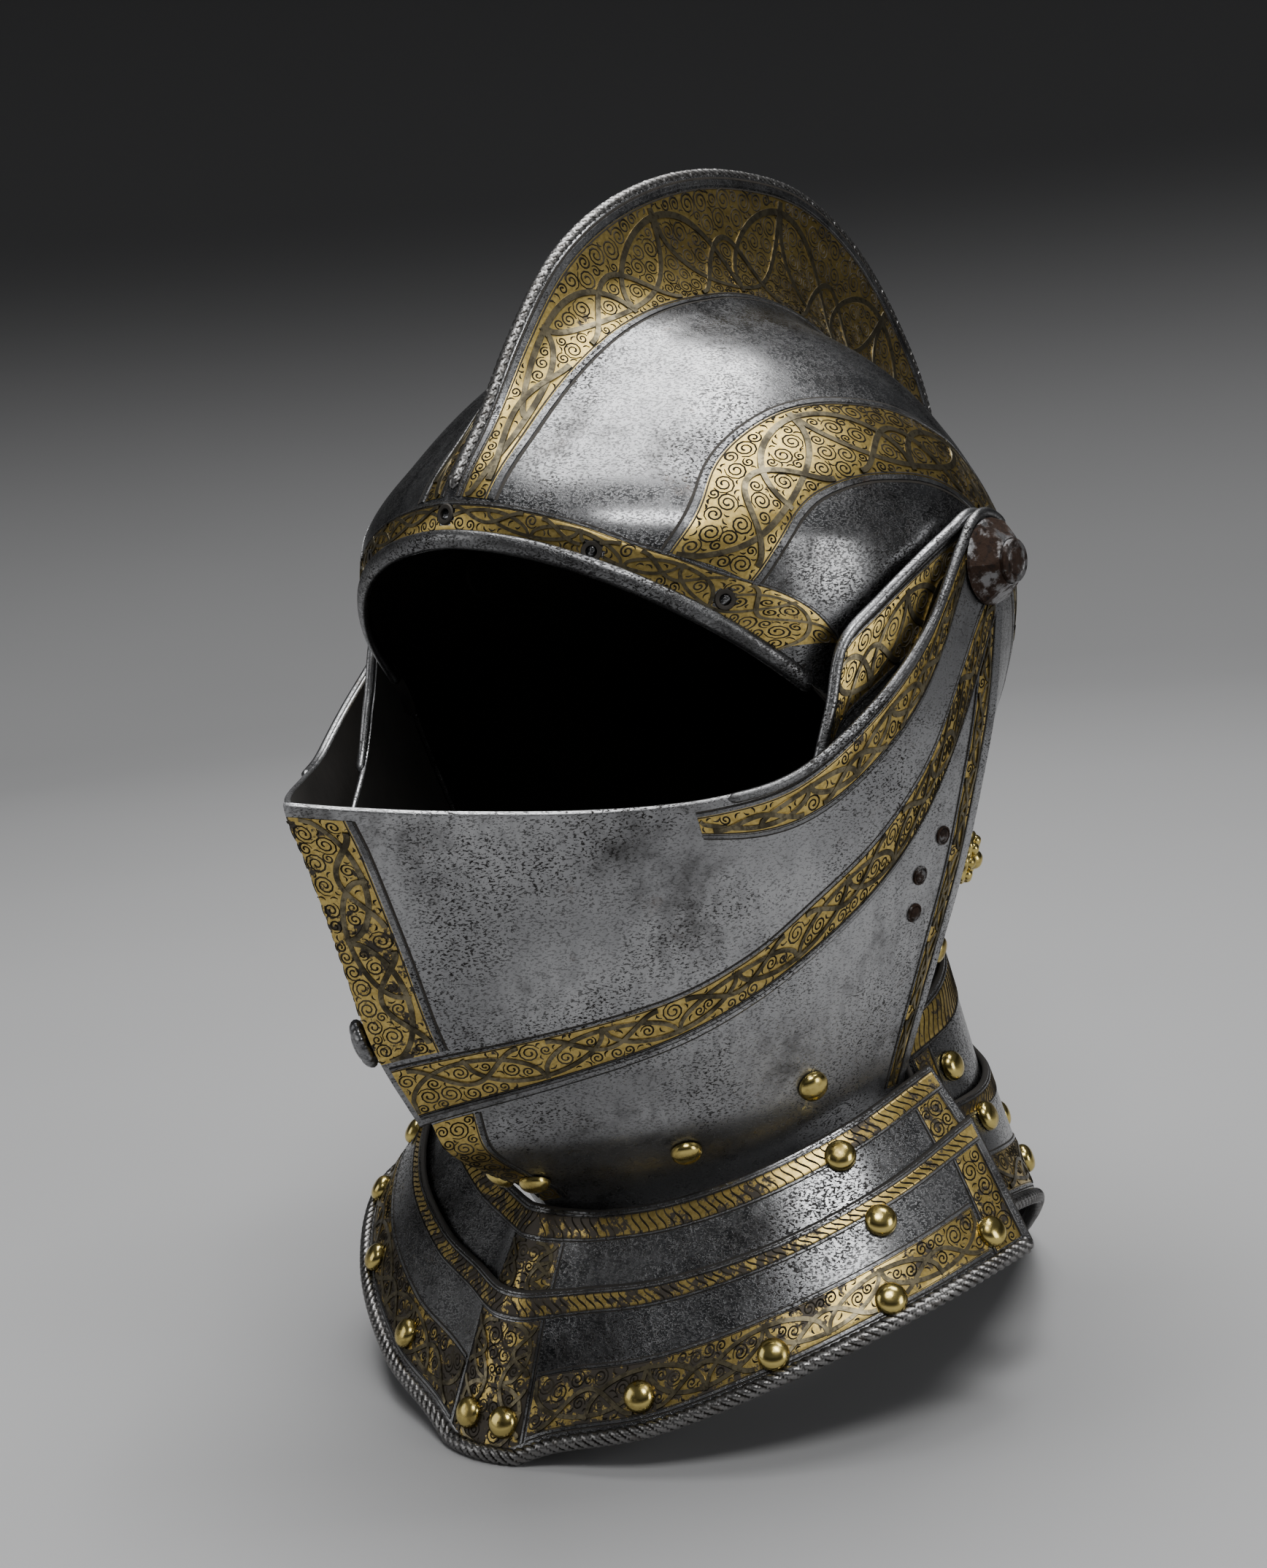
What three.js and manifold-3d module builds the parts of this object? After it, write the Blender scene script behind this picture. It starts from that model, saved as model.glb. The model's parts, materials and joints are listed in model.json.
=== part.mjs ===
// Close helmet: skull with comb, bevor, ventail, four gorget lames, pivots and rivets.
// Millimetres, +Z up, the wearer faces -Y and the wearer's left is +X.
// Every plate is worked out about the pivot axis and then raised to stand on z = 0.
import * as THREE from 'three';
import { mergeVertices } from 'three/addons/utils/BufferGeometryUtils.js';
import Module from 'manifold-3d';

const wasm = await Module();
wasm.setup();

// Driving dimensions
const PIVOT_HEIGHT = 219;
const PIVOT_Y = 16.3;
const WALL = 1.8;
const SEAT_GAP = 0.35;
const INNER_HEAD_GAP = 2;
const SKULL_HALF_WIDTH = 89;
const BROW_ANGLE = 10.5;
const NAPE_ANGLE = 247;
const PIVOT_HOLE_RADIUS = 4.5;
const BROW_HOLE_RADIUS = 1.6;
const MERGE_TOLERANCE = 1e-4;

// Mesh steps
const SKULL_RIBS = 27;
const SIDE_STEPS = 9;
const PLATE_STEPS = 16;
const BEVOR_ROWS = 11;
const VENTAIL_ROWS = 7;
const LAME_STEPS = 13;
const LAME_ROWS = 3;
const SIDE_SPREAD = 1.7;
const LAME_SPREAD = 1.25;
const SMALL_SIDES = 8;

// Skull in the mid-plane: angle from the front over the top, bowl radius, comb height, taper
const SKULL = table('angle radius comb taper', [
  [-90, 172, 0, 0.5], [-60, 140, 0, 0.5], [-32, 104, 0, 0.5], [-5, 98, 0, 0.5], [10, 99, 0, 0.53],
  [16, 98, 1, 0.55], [31, 87, 5.5, 0.6], [46, 80.5, 13, 0.63], [63, 77, 22, 0.67], [84, 75, 30, 0.7],
  [97, 75.5, 34, 0.7], [109, 76.5, 38, 0.7], [122, 78, 43, 0.7], [135, 80.5, 44, 0.74],
  [149, 85, 41, 0.76], [161, 89.5, 38.5, 0.74], [175, 94, 34, 0.66], [186, 96.5, 28, 0.58],
  [196, 97, 22, 0.53], [210, 98, 13, 0.5], [218, 100, 9, 0.5], [228, 103, 4, 0.5], [238, 110, 1, 0.5],
  [247, 121, 0, 0.5], [258, 145, 0, 0.5], [270, 172, 0, 0.5],
]);
// Front edge of the skull below the brow, in side view
const SKULL_EDGE = table('share y z', [
  [0, -45, -28], [0.35, -33, -60], [0.7, -27, -95], [1, -25, -119],
]);
// Comb section: half width, share of the comb height
const COMB_SECTION = [
  [0, 1], [1.8, 1], [2.6, 0.9], [3.8, 0.74], [5.6, 0.55], [8.5, 0.35], [13, 0.16], [19, 0.04], [24, 0],
];
const COMB_WALL = 1.6;

// Face plates by level: half width at the pivots, keel distance in front of them, roundness, keel's point
const VENTAIL = table('z width keel power point', [
  [-132, 75, 124.8, 2.9, 1.22], [-126, 77, 128.3, 2.9, 1.22], [-103, 84, 140.5, 2.9, 1.22],
  [-77, 91, 148, 2.9, 1.22], [-51, 96, 155.5, 2.9, 1.22], [-38, 97.5, 160, 2.9, 1.22],
  [-20, 98, 160, 2.9, 1.22], [0, 98, 158, 2.9, 1.22], [24, 96.5, 152, 2.9, 1.22],
]);
const BEVOR = table('z width keel power point', [
  [-176, 63, 78.5, 2.5, 1], [-172, 63.5, 80, 2.5, 1], [-160, 64, 86.5, 2.5, 1], [-154, 65, 92.5, 2.55, 1],
  [-147, 67, 104, 2.7, 1.05], [-136, 71, 119, 2.85, 1.15], [-126, 74, 124.3, 2.9, 1.22],
  [-103, 81, 135, 2.9, 1.22], [-77, 88, 142, 2.7, 1.2], [-51, 92.5, 149, 2.3, 1], [-38, 94, 152, 2.1, 1],
  [-20, 94.5, 152, 1.95, 1], [0, 94.5, 150, 1.9, 1], [24, 93, 142, 1.9, 1],
]);
// Plate edges: share of the way back from keel to arm end, share of the keel distance, level
const VENTAIL_TOP = table('way keelShare z', [
  [0, 1, -37], [0.1, 0.936, -40], [0.2, 0.85, -43], [0.34, 0.7, -46.2], [0.46, 0.564, -46.5],
  [0.56, 0.45, -43], [0.68, 0.309, -30], [0.79, 0.18, -14], [0.88, 0.075, 5], [0.94, 0.01, 12.5],
  [0.98, -0.05, 9.5], [1, -0.076, 1.5],
]);
const VENTAIL_BOTTOM = table('way keelShare z', [
  [0, 1, -126], [0.1, 0.91, -122], [0.2, 0.8, -117], [0.34, 0.641, -109], [0.46, 0.52, -100],
  [0.56, 0.415, -90], [0.68, 0.29, -76.5], [0.79, 0.19, -61.5], [0.88, 0.1, -41], [0.94, 0.035, -25],
  [0.98, -0.02, -12], [1, -0.076, -2],
]);
const BEVOR_TOP = table('way keelShare z', [
  [0, 1, -88], [0.14, 0.8, -80], [0.28, 0.6, -66], [0.4, 0.42, -50], [0.5, 0.35, -31],
  [0.58, 0.312, -14.5], [0.66, 0.24, -5.5], [0.76, 0.15, 3], [0.86, 0.06, 9.5], [0.92, 0, 12.5],
  [0.97, -0.06, 8.5], [1, -0.1, -1],
]);
const BEVOR_BOTTOM = table('way keelShare z', [
  [0, 1, -171], [0.14, 0.93, -168.5], [0.28, 0.8, -164], [0.4, 0.68, -159], [0.5, 0.56, -155],
  [0.58, 0.47, -151.5], [0.66, 0.37, -148.5], [0.76, 0.27, -145.5], [0.86, 0.2, -143.5],
  [0.92, 0.17, -142.5], [0.97, 0.15, -142], [1, 0.14, -141.5],
]);

// Gorget plan: way round from the mid-plane, neck x y, rim x y, levels of neck, joint and rim
const FRONT_GORGET = table('way neckX neckY rimX rimY neckZ jointZ rimZ', [
  [0, 0, -90, 0, -121, -159.5, -179.5, -219], [0.05, 4.2, -89.3, 5.8, -120.4, -159.8, -179.4, -219],
  [0.1, 8.2, -87.3, 11.4, -119, -160.3, -179, -217], [0.2, 15.8, -82.6, 22, -115, -160.8, -178.2, -212.7],
  [0.4, 35.3, -74, 49, -104, -157, -174.5, -206],
  [0.6, 56.6, -60.6, 78, -83.5, -149, -166, -193], [0.8, 72.1, -39, 99.8, -54, -140, -155.5, -181.5],
  [1, 77.3, -11.5, 107.4, -16, -133, -146.5, -177],
]);
const REAR_GORGET = table('way neckX neckY rimX rimY neckZ jointZ rimZ', [
  [0, 0, 58, 0, 92, -109, -150, -219], [0.16, 16, 56.5, 20, 91, -109, -150, -219],
  [0.32, 32, 50.5, 38, 84, -109, -150, -219], [0.48, 46, 40, 55, 66, -110, -149, -206],
  [0.64, 60.5, 26.5, 73, 42, -112, -148, -190], [0.82, 69.5, 8, 88, 15, -117, -147, -178],
  [1, 69.2, -14, 96, -15, -124, -146, -171],
]);
const JOINT_SHARE = 0.4;
const UPPER_LAME_INSET = 2.5;
const UPPER_LAME_END = 0.52;

// Brow holes: y and z of the one on the mid-plane and of the pairs beside it
const BROW_MIDDLE_HOLE = { y: -96.6, z: 25.6 };
const BROW_SIDE_HOLES = [{ y: -86.6, z: 14 }, { y: -67.2, z: -0.7 }];
const BROW_DRILL_LENGTH = 14;
const PIVOT_DRILL = { x: 92, length: 30, sides: 10 };

// Pivot bolt sizes, radii and heights above the plate that each part stands on
const PIVOT_INNER_HEAD = { radius: 7, height: 2 };
const PIVOT_OUTER_HEAD = { radius: 11.4, skirt: 1.8, coneRadius: 6.2, coneTop: 6.4 };
const PIVOT_END = { radius: 5, foot: 6.8, edge: 8, top: 8.4 };

// Turned profiles: radius and height, or shares of them for the domes
const DOME_PROFILE = [[0, 0], [1, 0], [0.92, 0.45], [0.6, 0.83], [0, 1]];
const KNOB_PROFILE = [[0, 0], [4.4, 0], [4.4, 0.6], [6, 1], [6.6, 2.2], [5.6, 3.8], [3.6, 4.7], [0, 5]];
const ESCUTCHEON_PROFILE = [[0, 0], [7.8, 0], [7.8, 1.2], [6, 2.2], [5, 1.8], [4, 3.4], [2, 4.8], [0, 5.2]];
const KNOB_SIDES = 12;
const ESCUTCHEON_SIDES = 10;
const CHEEK_RIVET = { radius: 2, height: 0.8, sides: 6 };
const DOME = { radius: 4.2, height: 3, sides: SMALL_SIDES };

const steel = { color: 0x8d9094, roughness: 0.38, metalness: 1 };
const iron = { color: 0x5d5750, roughness: 0.6, metalness: 1 };
const brass = { color: 0xc9a23c, roughness: 0.3, metalness: 1 };

// A table with named columns, read as smooth curves over its first column
function table(columns, rows) {
  const keys = rows.map((row) => row[0]);
  const curves = {};
  columns.split(' ').slice(1).forEach((name, i) => {
    const values = rows.map((row) => row[i + 1]);
    curves[name] = (at) => smooth(keys, values, at);
  });
  return curves;
}

// Cubic curve through the values, clamped at both ends
function smooth(keys, values, at) {
  const last = keys.length - 1;
  const x = THREE.MathUtils.clamp(at, keys[0], keys[last]);
  let i = 0;
  while (i < last - 1 && x > keys[i + 1]) i++;
  const slope = (j) => {
    const a = Math.max(j - 1, 0);
    const b = Math.min(j + 1, last);
    return (values[b] - values[a]) / (keys[b] - keys[a]);
  };
  const width = keys[i + 1] - keys[i];
  const t = (x - keys[i]) / width;
  const rise = t * t * (3 - 2 * t);
  const ease = t * (1 - t) * width;
  return values[i] * (1 - rise) + values[i + 1] * rise
    + ease * (slope(i) * (1 - t) - slope(i + 1) * t);
}

const vec = (x, y, z) => new THREE.Vector3(x, y, z);
const steps = (count) => Array.from({ length: count + 1 }, (_, i) => i / count);
const mirrored = (p) => vec(-p.x, p.y, p.z);

// Skull half width at a point of the side view
function skullHalfWidth(y, z) {
  let angle = THREE.MathUtils.radToDeg(Math.atan2(z, -y));
  if (angle < -90) angle += 360;
  const share = Math.min(Math.hypot(y, z) / SKULL.radius(angle), 1);
  return SKULL_HALF_WIDTH * (1 - share * share) ** SKULL.taper(angle);
}

// One rib of the skull from the comb top to the side edge, with its inside points
function skullRib(way) {
  const degrees = THREE.MathUtils.lerp(BROW_ANGLE, NAPE_ANGLE, way);
  const angle = THREE.MathUtils.degToRad(degrees);
  const outward = vec(0, -Math.cos(angle), Math.sin(angle));
  const top = outward.clone().multiplyScalar(SKULL.radius(degrees));
  const edge = vec(0, SKULL_EDGE.y(way), SKULL_EDGE.z(way));
  const bowl = (share) => {
    const p = top.clone().lerp(edge, share);
    p.x = skullHalfWidth(p.y, p.z);
    return p;
  };
  const shareAt = (x) => {
    let low = 0;
    let high = 0.5;
    for (let i = 0; i < 40; i++) {
      const middle = (low + high) / 2;
      if (bowl(middle).x < x) low = middle;
      else high = middle;
    }
    return low;
  };
  const rib = COMB_SECTION.map(([x, lift]) => {
    const p = x === 0 ? top.clone() : bowl(shareAt(x));
    p.x = x;
    return p.addScaledVector(outward, lift * SKULL.comb(degrees));
  });
  const foot = shareAt(COMB_SECTION.at(-1)[0]);
  for (let k = 1; k <= SIDE_STEPS; k++) {
    rib.push(bowl(foot + (1 - foot) * (k / SIDE_STEPS) ** SIDE_SPREAD));
  }
  return { rib, outward };
}

function skullGeometry() {
  const ribs = steps(SKULL_RIBS).map(skullRib);
  const outer = ribs.map(({ rib }) => bothSides(rib));
  const inner = offsetGrid(outer, WALL);
  const middle = ribs[0].rib.length - 1;
  ribs.forEach(({ rib, outward }, i) => {
    COMB_SECTION.forEach(([x], k) => {
      const p = rib[k].clone().addScaledVector(outward, -WALL);
      p.x = Math.max(x - COMB_WALL, 0);
      inner[i][middle + k] = p;
      inner[i][middle - k] = mirrored(p);
    });
  });
  return cut(shellGeometry(outer, inner), [...pivotHoles(), ...browHoles()]);
}

// Drills for the brow holes, straight out from the bowl's axis
function browHoles() {
  const sides = BROW_SIDE_HOLES.flatMap(({ y, z }) => [1, -1].map((side) => browHole(side, y, z)));
  return [browHole(0, BROW_MIDDLE_HOLE.y, BROW_MIDDLE_HOLE.z), ...sides];
}

// Drill for one brow hole; side is 1 for the left, -1 for the right and 0 for the middle
function browHole(side, y, z) {
  const at = vec(side * skullHalfWidth(y, z), y, z);
  const out = vec(at.x, at.y, 0).normalize();
  const radius = BROW_HOLE_RADIUS;
  return placed(new THREE.CylinderGeometry(radius, radius, BROW_DRILL_LENGTH, SMALL_SIDES), at, out);
}

// A point of a face plate, from its share of the keel distance and its level
function facePoint(plate, share, z) {
  const x = plate.width(z) * (1 - Math.abs(share) ** plate.power(z)) ** plate.point(z);
  return vec(x, -plate.keel(z) * share, z);
}

function facePlateGeometry(plate, top, bottom, rows) {
  const outer = steps(rows).map((down) => {
    const half = steps(PLATE_STEPS).map((way) => facePoint(
      plate,
      THREE.MathUtils.lerp(top.keelShare(way), bottom.keelShare(way), down),
      THREE.MathUtils.lerp(top.z(way), bottom.z(way), down),
    ));
    return bothSides(half);
  });
  return cut(shellGeometry(outer, offsetGrid(outer, WALL)), pivotHoles());
}

// A point of the gorget cone, from the way round and the share from neck to rim
function gorgetPoint(gorget, way, share) {
  const x = THREE.MathUtils.lerp(gorget.neckX(way), gorget.rimX(way), share);
  const y = THREE.MathUtils.lerp(gorget.neckY(way), gorget.rimY(way), share);
  const z = share < JOINT_SHARE
    ? THREE.MathUtils.mapLinear(share, 0, JOINT_SHARE, gorget.neckZ(way), gorget.jointZ(way))
    : THREE.MathUtils.mapLinear(share, JOINT_SHARE, 1, gorget.jointZ(way), gorget.rimZ(way));
  return vec(x, y, Math.max(z, -PIVOT_HEIGHT));
}

function lameGeometry(gorget, from, to, inset) {
  const nominal = steps(LAME_ROWS).map((down) => {
    const share = THREE.MathUtils.lerp(from, to, down);
    return bothSides(steps(LAME_STEPS).map((way) => gorgetPoint(gorget, way ** LAME_SPREAD, share)));
  });
  const outer = inset ? offsetGrid(nominal, inset) : nominal;
  const inner = offsetGrid(nominal, inset + WALL);
  if (to === 1) {
    inner[LAME_ROWS].forEach((p, j) => { p.z = outer[LAME_ROWS][j].z; });
  }
  return shellGeometry(outer, inner);
}

// Mirror a half row that starts on the mid-plane
function bothSides(half) {
  return [...half.slice(1).reverse().map(mirrored), ...half];
}

// Outward normals of a grid of points, away from the pivot axis
function gridNormals(grid) {
  const rows = grid.length - 1;
  const columns = grid[0].length - 1;
  return grid.map((row, i) => row.map((p, j) => {
    const down = grid[Math.min(i + 1, rows)][j].clone().sub(grid[Math.max(i - 1, 0)][j]);
    const across = row[Math.min(j + 1, columns)].clone().sub(row[Math.max(j - 1, 0)]);
    const normal = down.cross(across).normalize();
    return normal.dot(vec(p.x, p.y, 0)) < 0 ? normal.negate() : normal;
  }));
}

function offsetGrid(grid, depth) {
  const normals = gridNormals(grid);
  return grid.map((row, i) => row.map((p, j) => p.clone().addScaledVector(normals[i][j], -depth)));
}

// Closed wall between an outer and an inner grid of points
function shellGeometry(outer, inner) {
  const rows = outer.length;
  const columns = outer[0].length;
  const points = [...outer.flat(), ...inner.flat()];
  const index = [];
  const quad = (a, b, c, d) => index.push(a, b, c, a, c, d);
  const out = (i, j) => i * columns + j;
  const into = (i, j) => rows * columns + i * columns + j;
  for (let i = 0; i < rows - 1; i++) {
    for (let j = 0; j < columns - 1; j++) {
      quad(out(i, j), out(i + 1, j), out(i + 1, j + 1), out(i, j + 1));
      quad(into(i, j), into(i, j + 1), into(i + 1, j + 1), into(i + 1, j));
    }
    quad(out(i, 0), into(i, 0), into(i + 1, 0), out(i + 1, 0));
    const end = columns - 1;
    quad(out(i, end), out(i + 1, end), into(i + 1, end), into(i, end));
  }
  for (let j = 0; j < columns - 1; j++) {
    const foot = rows - 1;
    quad(out(0, j), out(0, j + 1), into(0, j + 1), into(0, j));
    quad(out(foot, j), into(foot, j), into(foot, j + 1), out(foot, j + 1));
  }
  const geometry = new THREE.BufferGeometry().setFromPoints(points);
  geometry.setIndex(index);
  return facingOut(geometry);
}

// Turn the triangles over where they face inwards
function facingOut(geometry) {
  const position = geometry.getAttribute('position');
  const index = Array.from(geometry.getIndex().array);
  const corner = (i) => vec().fromBufferAttribute(position, index[i]);
  let volume = 0;
  for (let i = 0; i < index.length; i += 3) {
    volume += corner(i).dot(corner(i + 1).cross(corner(i + 2)));
  }
  if (volume < 0) {
    for (let i = 0; i < index.length; i += 3) {
      [index[i], index[i + 1]] = [index[i + 1], index[i]];
    }
    geometry.setIndex(index);
  }
  return geometry;
}

function solid(geometry) {
  const bare = geometry.clone();
  bare.deleteAttribute('normal');
  bare.deleteAttribute('uv');
  const merged = mergeVertices(bare, MERGE_TOLERANCE);
  return new wasm.Manifold(new wasm.Mesh({
    numProp: 3,
    vertProperties: new Float32Array(merged.getAttribute('position').array),
    triVerts: new Uint32Array(merged.getIndex().array),
  }));
}

function cut(geometry, tools) {
  const result = tools.reduce((body, tool) => body.subtract(solid(tool)), solid(geometry));
  const mesh = result.getMesh();
  const output = new THREE.BufferGeometry();
  output.setAttribute('position', new THREE.BufferAttribute(mesh.vertProperties, 3));
  output.setIndex(new THREE.BufferAttribute(mesh.triVerts, 1));
  return output;
}

// Turn a geometry made along +Y to point outwards at a place
function placed(geometry, at, out) {
  const turn = new THREE.Quaternion().setFromUnitVectors(vec(0, 1, 0), out);
  return geometry.applyQuaternion(turn).translate(at.x, at.y, at.z);
}

function pivotHoles() {
  return [1, -1].map((side) => {
    const { x, length, sides } = PIVOT_DRILL;
    const drill = new THREE.CylinderGeometry(PIVOT_HOLE_RADIUS, PIVOT_HOLE_RADIUS, length, sides);
    return placed(drill, vec(side * x, 0, 0), vec(side, 0, 0));
  });
}

const lathe = (profile, sides) => {
  const points = profile.map(([radius, height]) => new THREE.Vector2(radius, height));
  return new THREE.LatheGeometry(points, sides);
};

// Pivot bolt: inner head, shank through the three plates, faceted outer head, round end
function pivotGeometry() {
  const inside = SKULL_HALF_WIDTH - WALL - INNER_HEAD_GAP;
  const outside = VENTAIL.width(0) + SEAT_GAP;
  const shank = PIVOT_HOLE_RADIUS - SEAT_GAP;
  const { radius, skirt, coneRadius, coneTop } = PIVOT_OUTER_HEAD;
  return lathe([
    [0, inside - PIVOT_INNER_HEAD.height], [PIVOT_INNER_HEAD.radius, inside - PIVOT_INNER_HEAD.height],
    [PIVOT_INNER_HEAD.radius, inside], [shank, inside], [shank, outside], [radius, outside],
    [radius, outside + skirt], [coneRadius, outside + coneTop], [PIVOT_END.radius, outside + PIVOT_END.foot],
    [PIVOT_END.radius, outside + PIVOT_END.edge], [0, outside + PIVOT_END.top],
  ], SMALL_SIDES);
}

const domeGeometry = ({ radius, height, sides }) => lathe(
  DOME_PROFILE.map(([across, up]) => [across * radius, up * height]),
  sides,
);

const helmet = new THREE.Group();
helmet.position.set(0, PIVOT_Y, PIVOT_HEIGHT);

function add(name, geometry, finish) {
  const mesh = new THREE.Mesh(geometry, new THREE.MeshStandardMaterial(finish));
  mesh.name = name;
  helmet.add(mesh);
}

// Point and outward direction on a surface given by two parameters
function seat(surface, a, b) {
  const step = 1e-3;
  const at = surface(a, b);
  const along = surface(a + step, b).sub(at);
  const across = surface(a, b + step).sub(at);
  const out = along.cross(across).normalize();
  return { at, out: out.dot(vec(at.x, at.y, 0)) < 0 ? out.negate() : out };
}

const mirroredSeat = ({ at, out }) => ({ at: mirrored(at), out: mirrored(out) });

function addFastener(name, geometry, { at, out }, finish) {
  add(name, placed(geometry, at.clone().addScaledVector(out, SEAT_GAP), out), finish);
}

function addPair(name, makeGeometry, place, finish) {
  addFastener(`${name}_left`, makeGeometry(), place, finish);
  addFastener(`${name}_right`, makeGeometry(), mirroredSeat(place), finish);
}

const onBevor = (share, z) => facePoint(BEVOR, share, z);
const onVentail = (share, z) => facePoint(VENTAIL, share, z);
const onFront = (way, share) => gorgetPoint(FRONT_GORGET, way, share);
const onRear = (way, share) => gorgetPoint(REAR_GORGET, way, share);
const onSkull = (y, z) => vec(skullHalfWidth(y, z), y, z);
const sunk = ({ at, out }, depth) => ({ at: at.clone().addScaledVector(out, -depth), out });

add('skull', skullGeometry(), steel);
add('bevor', facePlateGeometry(BEVOR, BEVOR_TOP, BEVOR_BOTTOM, BEVOR_ROWS), steel);
add('ventail', facePlateGeometry(VENTAIL, VENTAIL_TOP, VENTAIL_BOTTOM, VENTAIL_ROWS), steel);
add('front_gorget_upper', lameGeometry(FRONT_GORGET, 0, UPPER_LAME_END, UPPER_LAME_INSET), steel);
add('front_gorget_lower', lameGeometry(FRONT_GORGET, JOINT_SHARE, 1, 0), steel);
add('rear_gorget_upper', lameGeometry(REAR_GORGET, 0, UPPER_LAME_END, UPPER_LAME_INSET), steel);
add('rear_gorget_lower', lameGeometry(REAR_GORGET, JOINT_SHARE, 1, 0), steel);

add('pivot_left', placed(pivotGeometry(), vec(0, 0, 0), vec(1, 0, 0)), iron);
add('pivot_right', placed(pivotGeometry(), vec(0, 0, 0), vec(-1, 0, 0)), iron);
const knobSeat = mirroredSeat(seat(onVentail, 0.95, -102.5));
addFastener('lifting_knob', lathe(KNOB_PROFILE, KNOB_SIDES), knobSeat, iron);
const escutcheonSeat = seat(onSkull, 21, -84);
addFastener('side_escutcheon', lathe(ESCUTCHEON_PROFILE, ESCUTCHEON_SIDES), escutcheonSeat, brass);

// Brass domes: name, surface, its two parameters, depth below that surface
const DOMES = [
  ['rim_rivet_1', onFront, 0.055, 0.86, 0], ['rim_rivet_2', onFront, 0.365, 0.86, 0],
  ['rim_rivet_3', onFront, 0.575, 0.89, 0], ['rim_rivet_4', onFront, 0.75, 0.9, 0],
  ['rim_rivet_5', onFront, 0.94, 0.87, 0],
  ['lower_lame_rivet', onFront, 0.77, 0.54, 0],
  ['upper_lame_rivet', onFront, 0.74, 0.13, UPPER_LAME_INSET],
  ['chin_rivet_1', onBevor, 0.962, -150, 0], ['chin_rivet_2', onBevor, 0.686, -142.6, 0],
  ['chin_rivet_3', onBevor, 0.415, -129.3, 0],
  ['rear_upper_rivet', onRear, 0.88, 0.27, UPPER_LAME_INSET],
  ['rear_lower_rivet_1', onRear, 0.86, 0.53, 0], ['rear_lower_rivet_2', onRear, 0.5, 0.64, 0],
  ['rear_lower_rivet_3', onRear, 0.66, 0.82, 0],
  ['nape_rivet', onSkull, 13, -109, 0],
];
for (const [name, surface, a, b, depth] of DOMES) {
  addPair(name, () => domeGeometry(DOME), sunk(seat(surface, a, b), depth), brass);
}

// Small cheek rivets: share of the keel distance, level
const CHEEK_RIVETS = [[0.117, -69], [0.177, -78], [0.183, -88]];
CHEEK_RIVETS.forEach(([share, z], i) => {
  addPair(`cheek_rivet_${i + 1}`, () => domeGeometry(CHEEK_RIVET), seat(onBevor, share, z), iron);
});

export default helmet;
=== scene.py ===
"""Looks of the close helmet: fine plates, etched and gilt bands, roped rims, rivets, finishes, studio."""
import json
import math
from types import SimpleNamespace

import bmesh
import bpy
import numpy as np
from mathutils import Matrix


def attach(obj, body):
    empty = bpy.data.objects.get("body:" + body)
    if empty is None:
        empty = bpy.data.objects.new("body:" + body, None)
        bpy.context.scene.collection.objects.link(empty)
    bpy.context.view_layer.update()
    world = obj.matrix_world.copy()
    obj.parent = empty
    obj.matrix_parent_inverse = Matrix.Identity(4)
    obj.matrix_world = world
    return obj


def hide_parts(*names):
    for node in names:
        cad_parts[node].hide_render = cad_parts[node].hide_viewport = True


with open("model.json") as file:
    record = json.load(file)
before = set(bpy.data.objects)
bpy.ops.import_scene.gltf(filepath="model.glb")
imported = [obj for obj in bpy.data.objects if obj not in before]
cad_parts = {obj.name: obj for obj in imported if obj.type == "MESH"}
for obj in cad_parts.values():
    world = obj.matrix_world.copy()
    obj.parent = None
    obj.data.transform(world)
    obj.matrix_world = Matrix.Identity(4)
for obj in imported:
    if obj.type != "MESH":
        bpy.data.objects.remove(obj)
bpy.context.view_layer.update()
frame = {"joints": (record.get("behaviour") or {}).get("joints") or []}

# Shapes are worked out in millimetres about the pivot axis, as the plates' tables are
MM = 0.001
PIVOT = np.array(frame["joints"][0]["pos_m"]) / MM
FLOOR_Z = -PIVOT[2]
WALL = 1.8
SKULL_HALF_WIDTH = 89
BROW_ANGLE = 10.5
NAPE_ANGLE = 247
COMB_FOOT = 24
COMB_WALL = 1.6
COMB_SPREAD = 1.8
SIDE_SPREAD = 1.35
JOINT_SHARE = 0.4
UPPER_LAME_INSET = 2.5
UPPER_LAME_END = 0.52
SEED = 7


def curve(keys, values):
    """A cubic curve through the values, clamped at both ends."""
    keys = np.asarray(keys, float)
    values = np.asarray(values, float)
    before = np.maximum(np.arange(len(keys)) - 1, 0)
    after = np.minimum(np.arange(len(keys)) + 1, len(keys) - 1)
    slopes = (values[after] - values[before]) / (keys[after] - keys[before])

    def read(at):
        x = np.clip(at, keys[0], keys[-1])
        i = np.clip(np.searchsorted(keys, x, side="right") - 1, 0, len(keys) - 2)
        width = keys[i + 1] - keys[i]
        t = (x - keys[i]) / width
        rise = t * t * (3 - 2 * t)
        ease = t * (1 - t) * width
        flat = values[i] * (1 - rise) + values[i + 1] * rise
        return flat + ease * (slopes[i] * (1 - t) - slopes[i + 1] * t)

    return read


def table(columns, rows):
    """Rows with named columns, read as smooth curves over the first column."""
    keys, *values = np.array(rows, float).T
    return SimpleNamespace(**{name: curve(keys, v) for name, v in zip(columns.split()[1:], values)})


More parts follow.
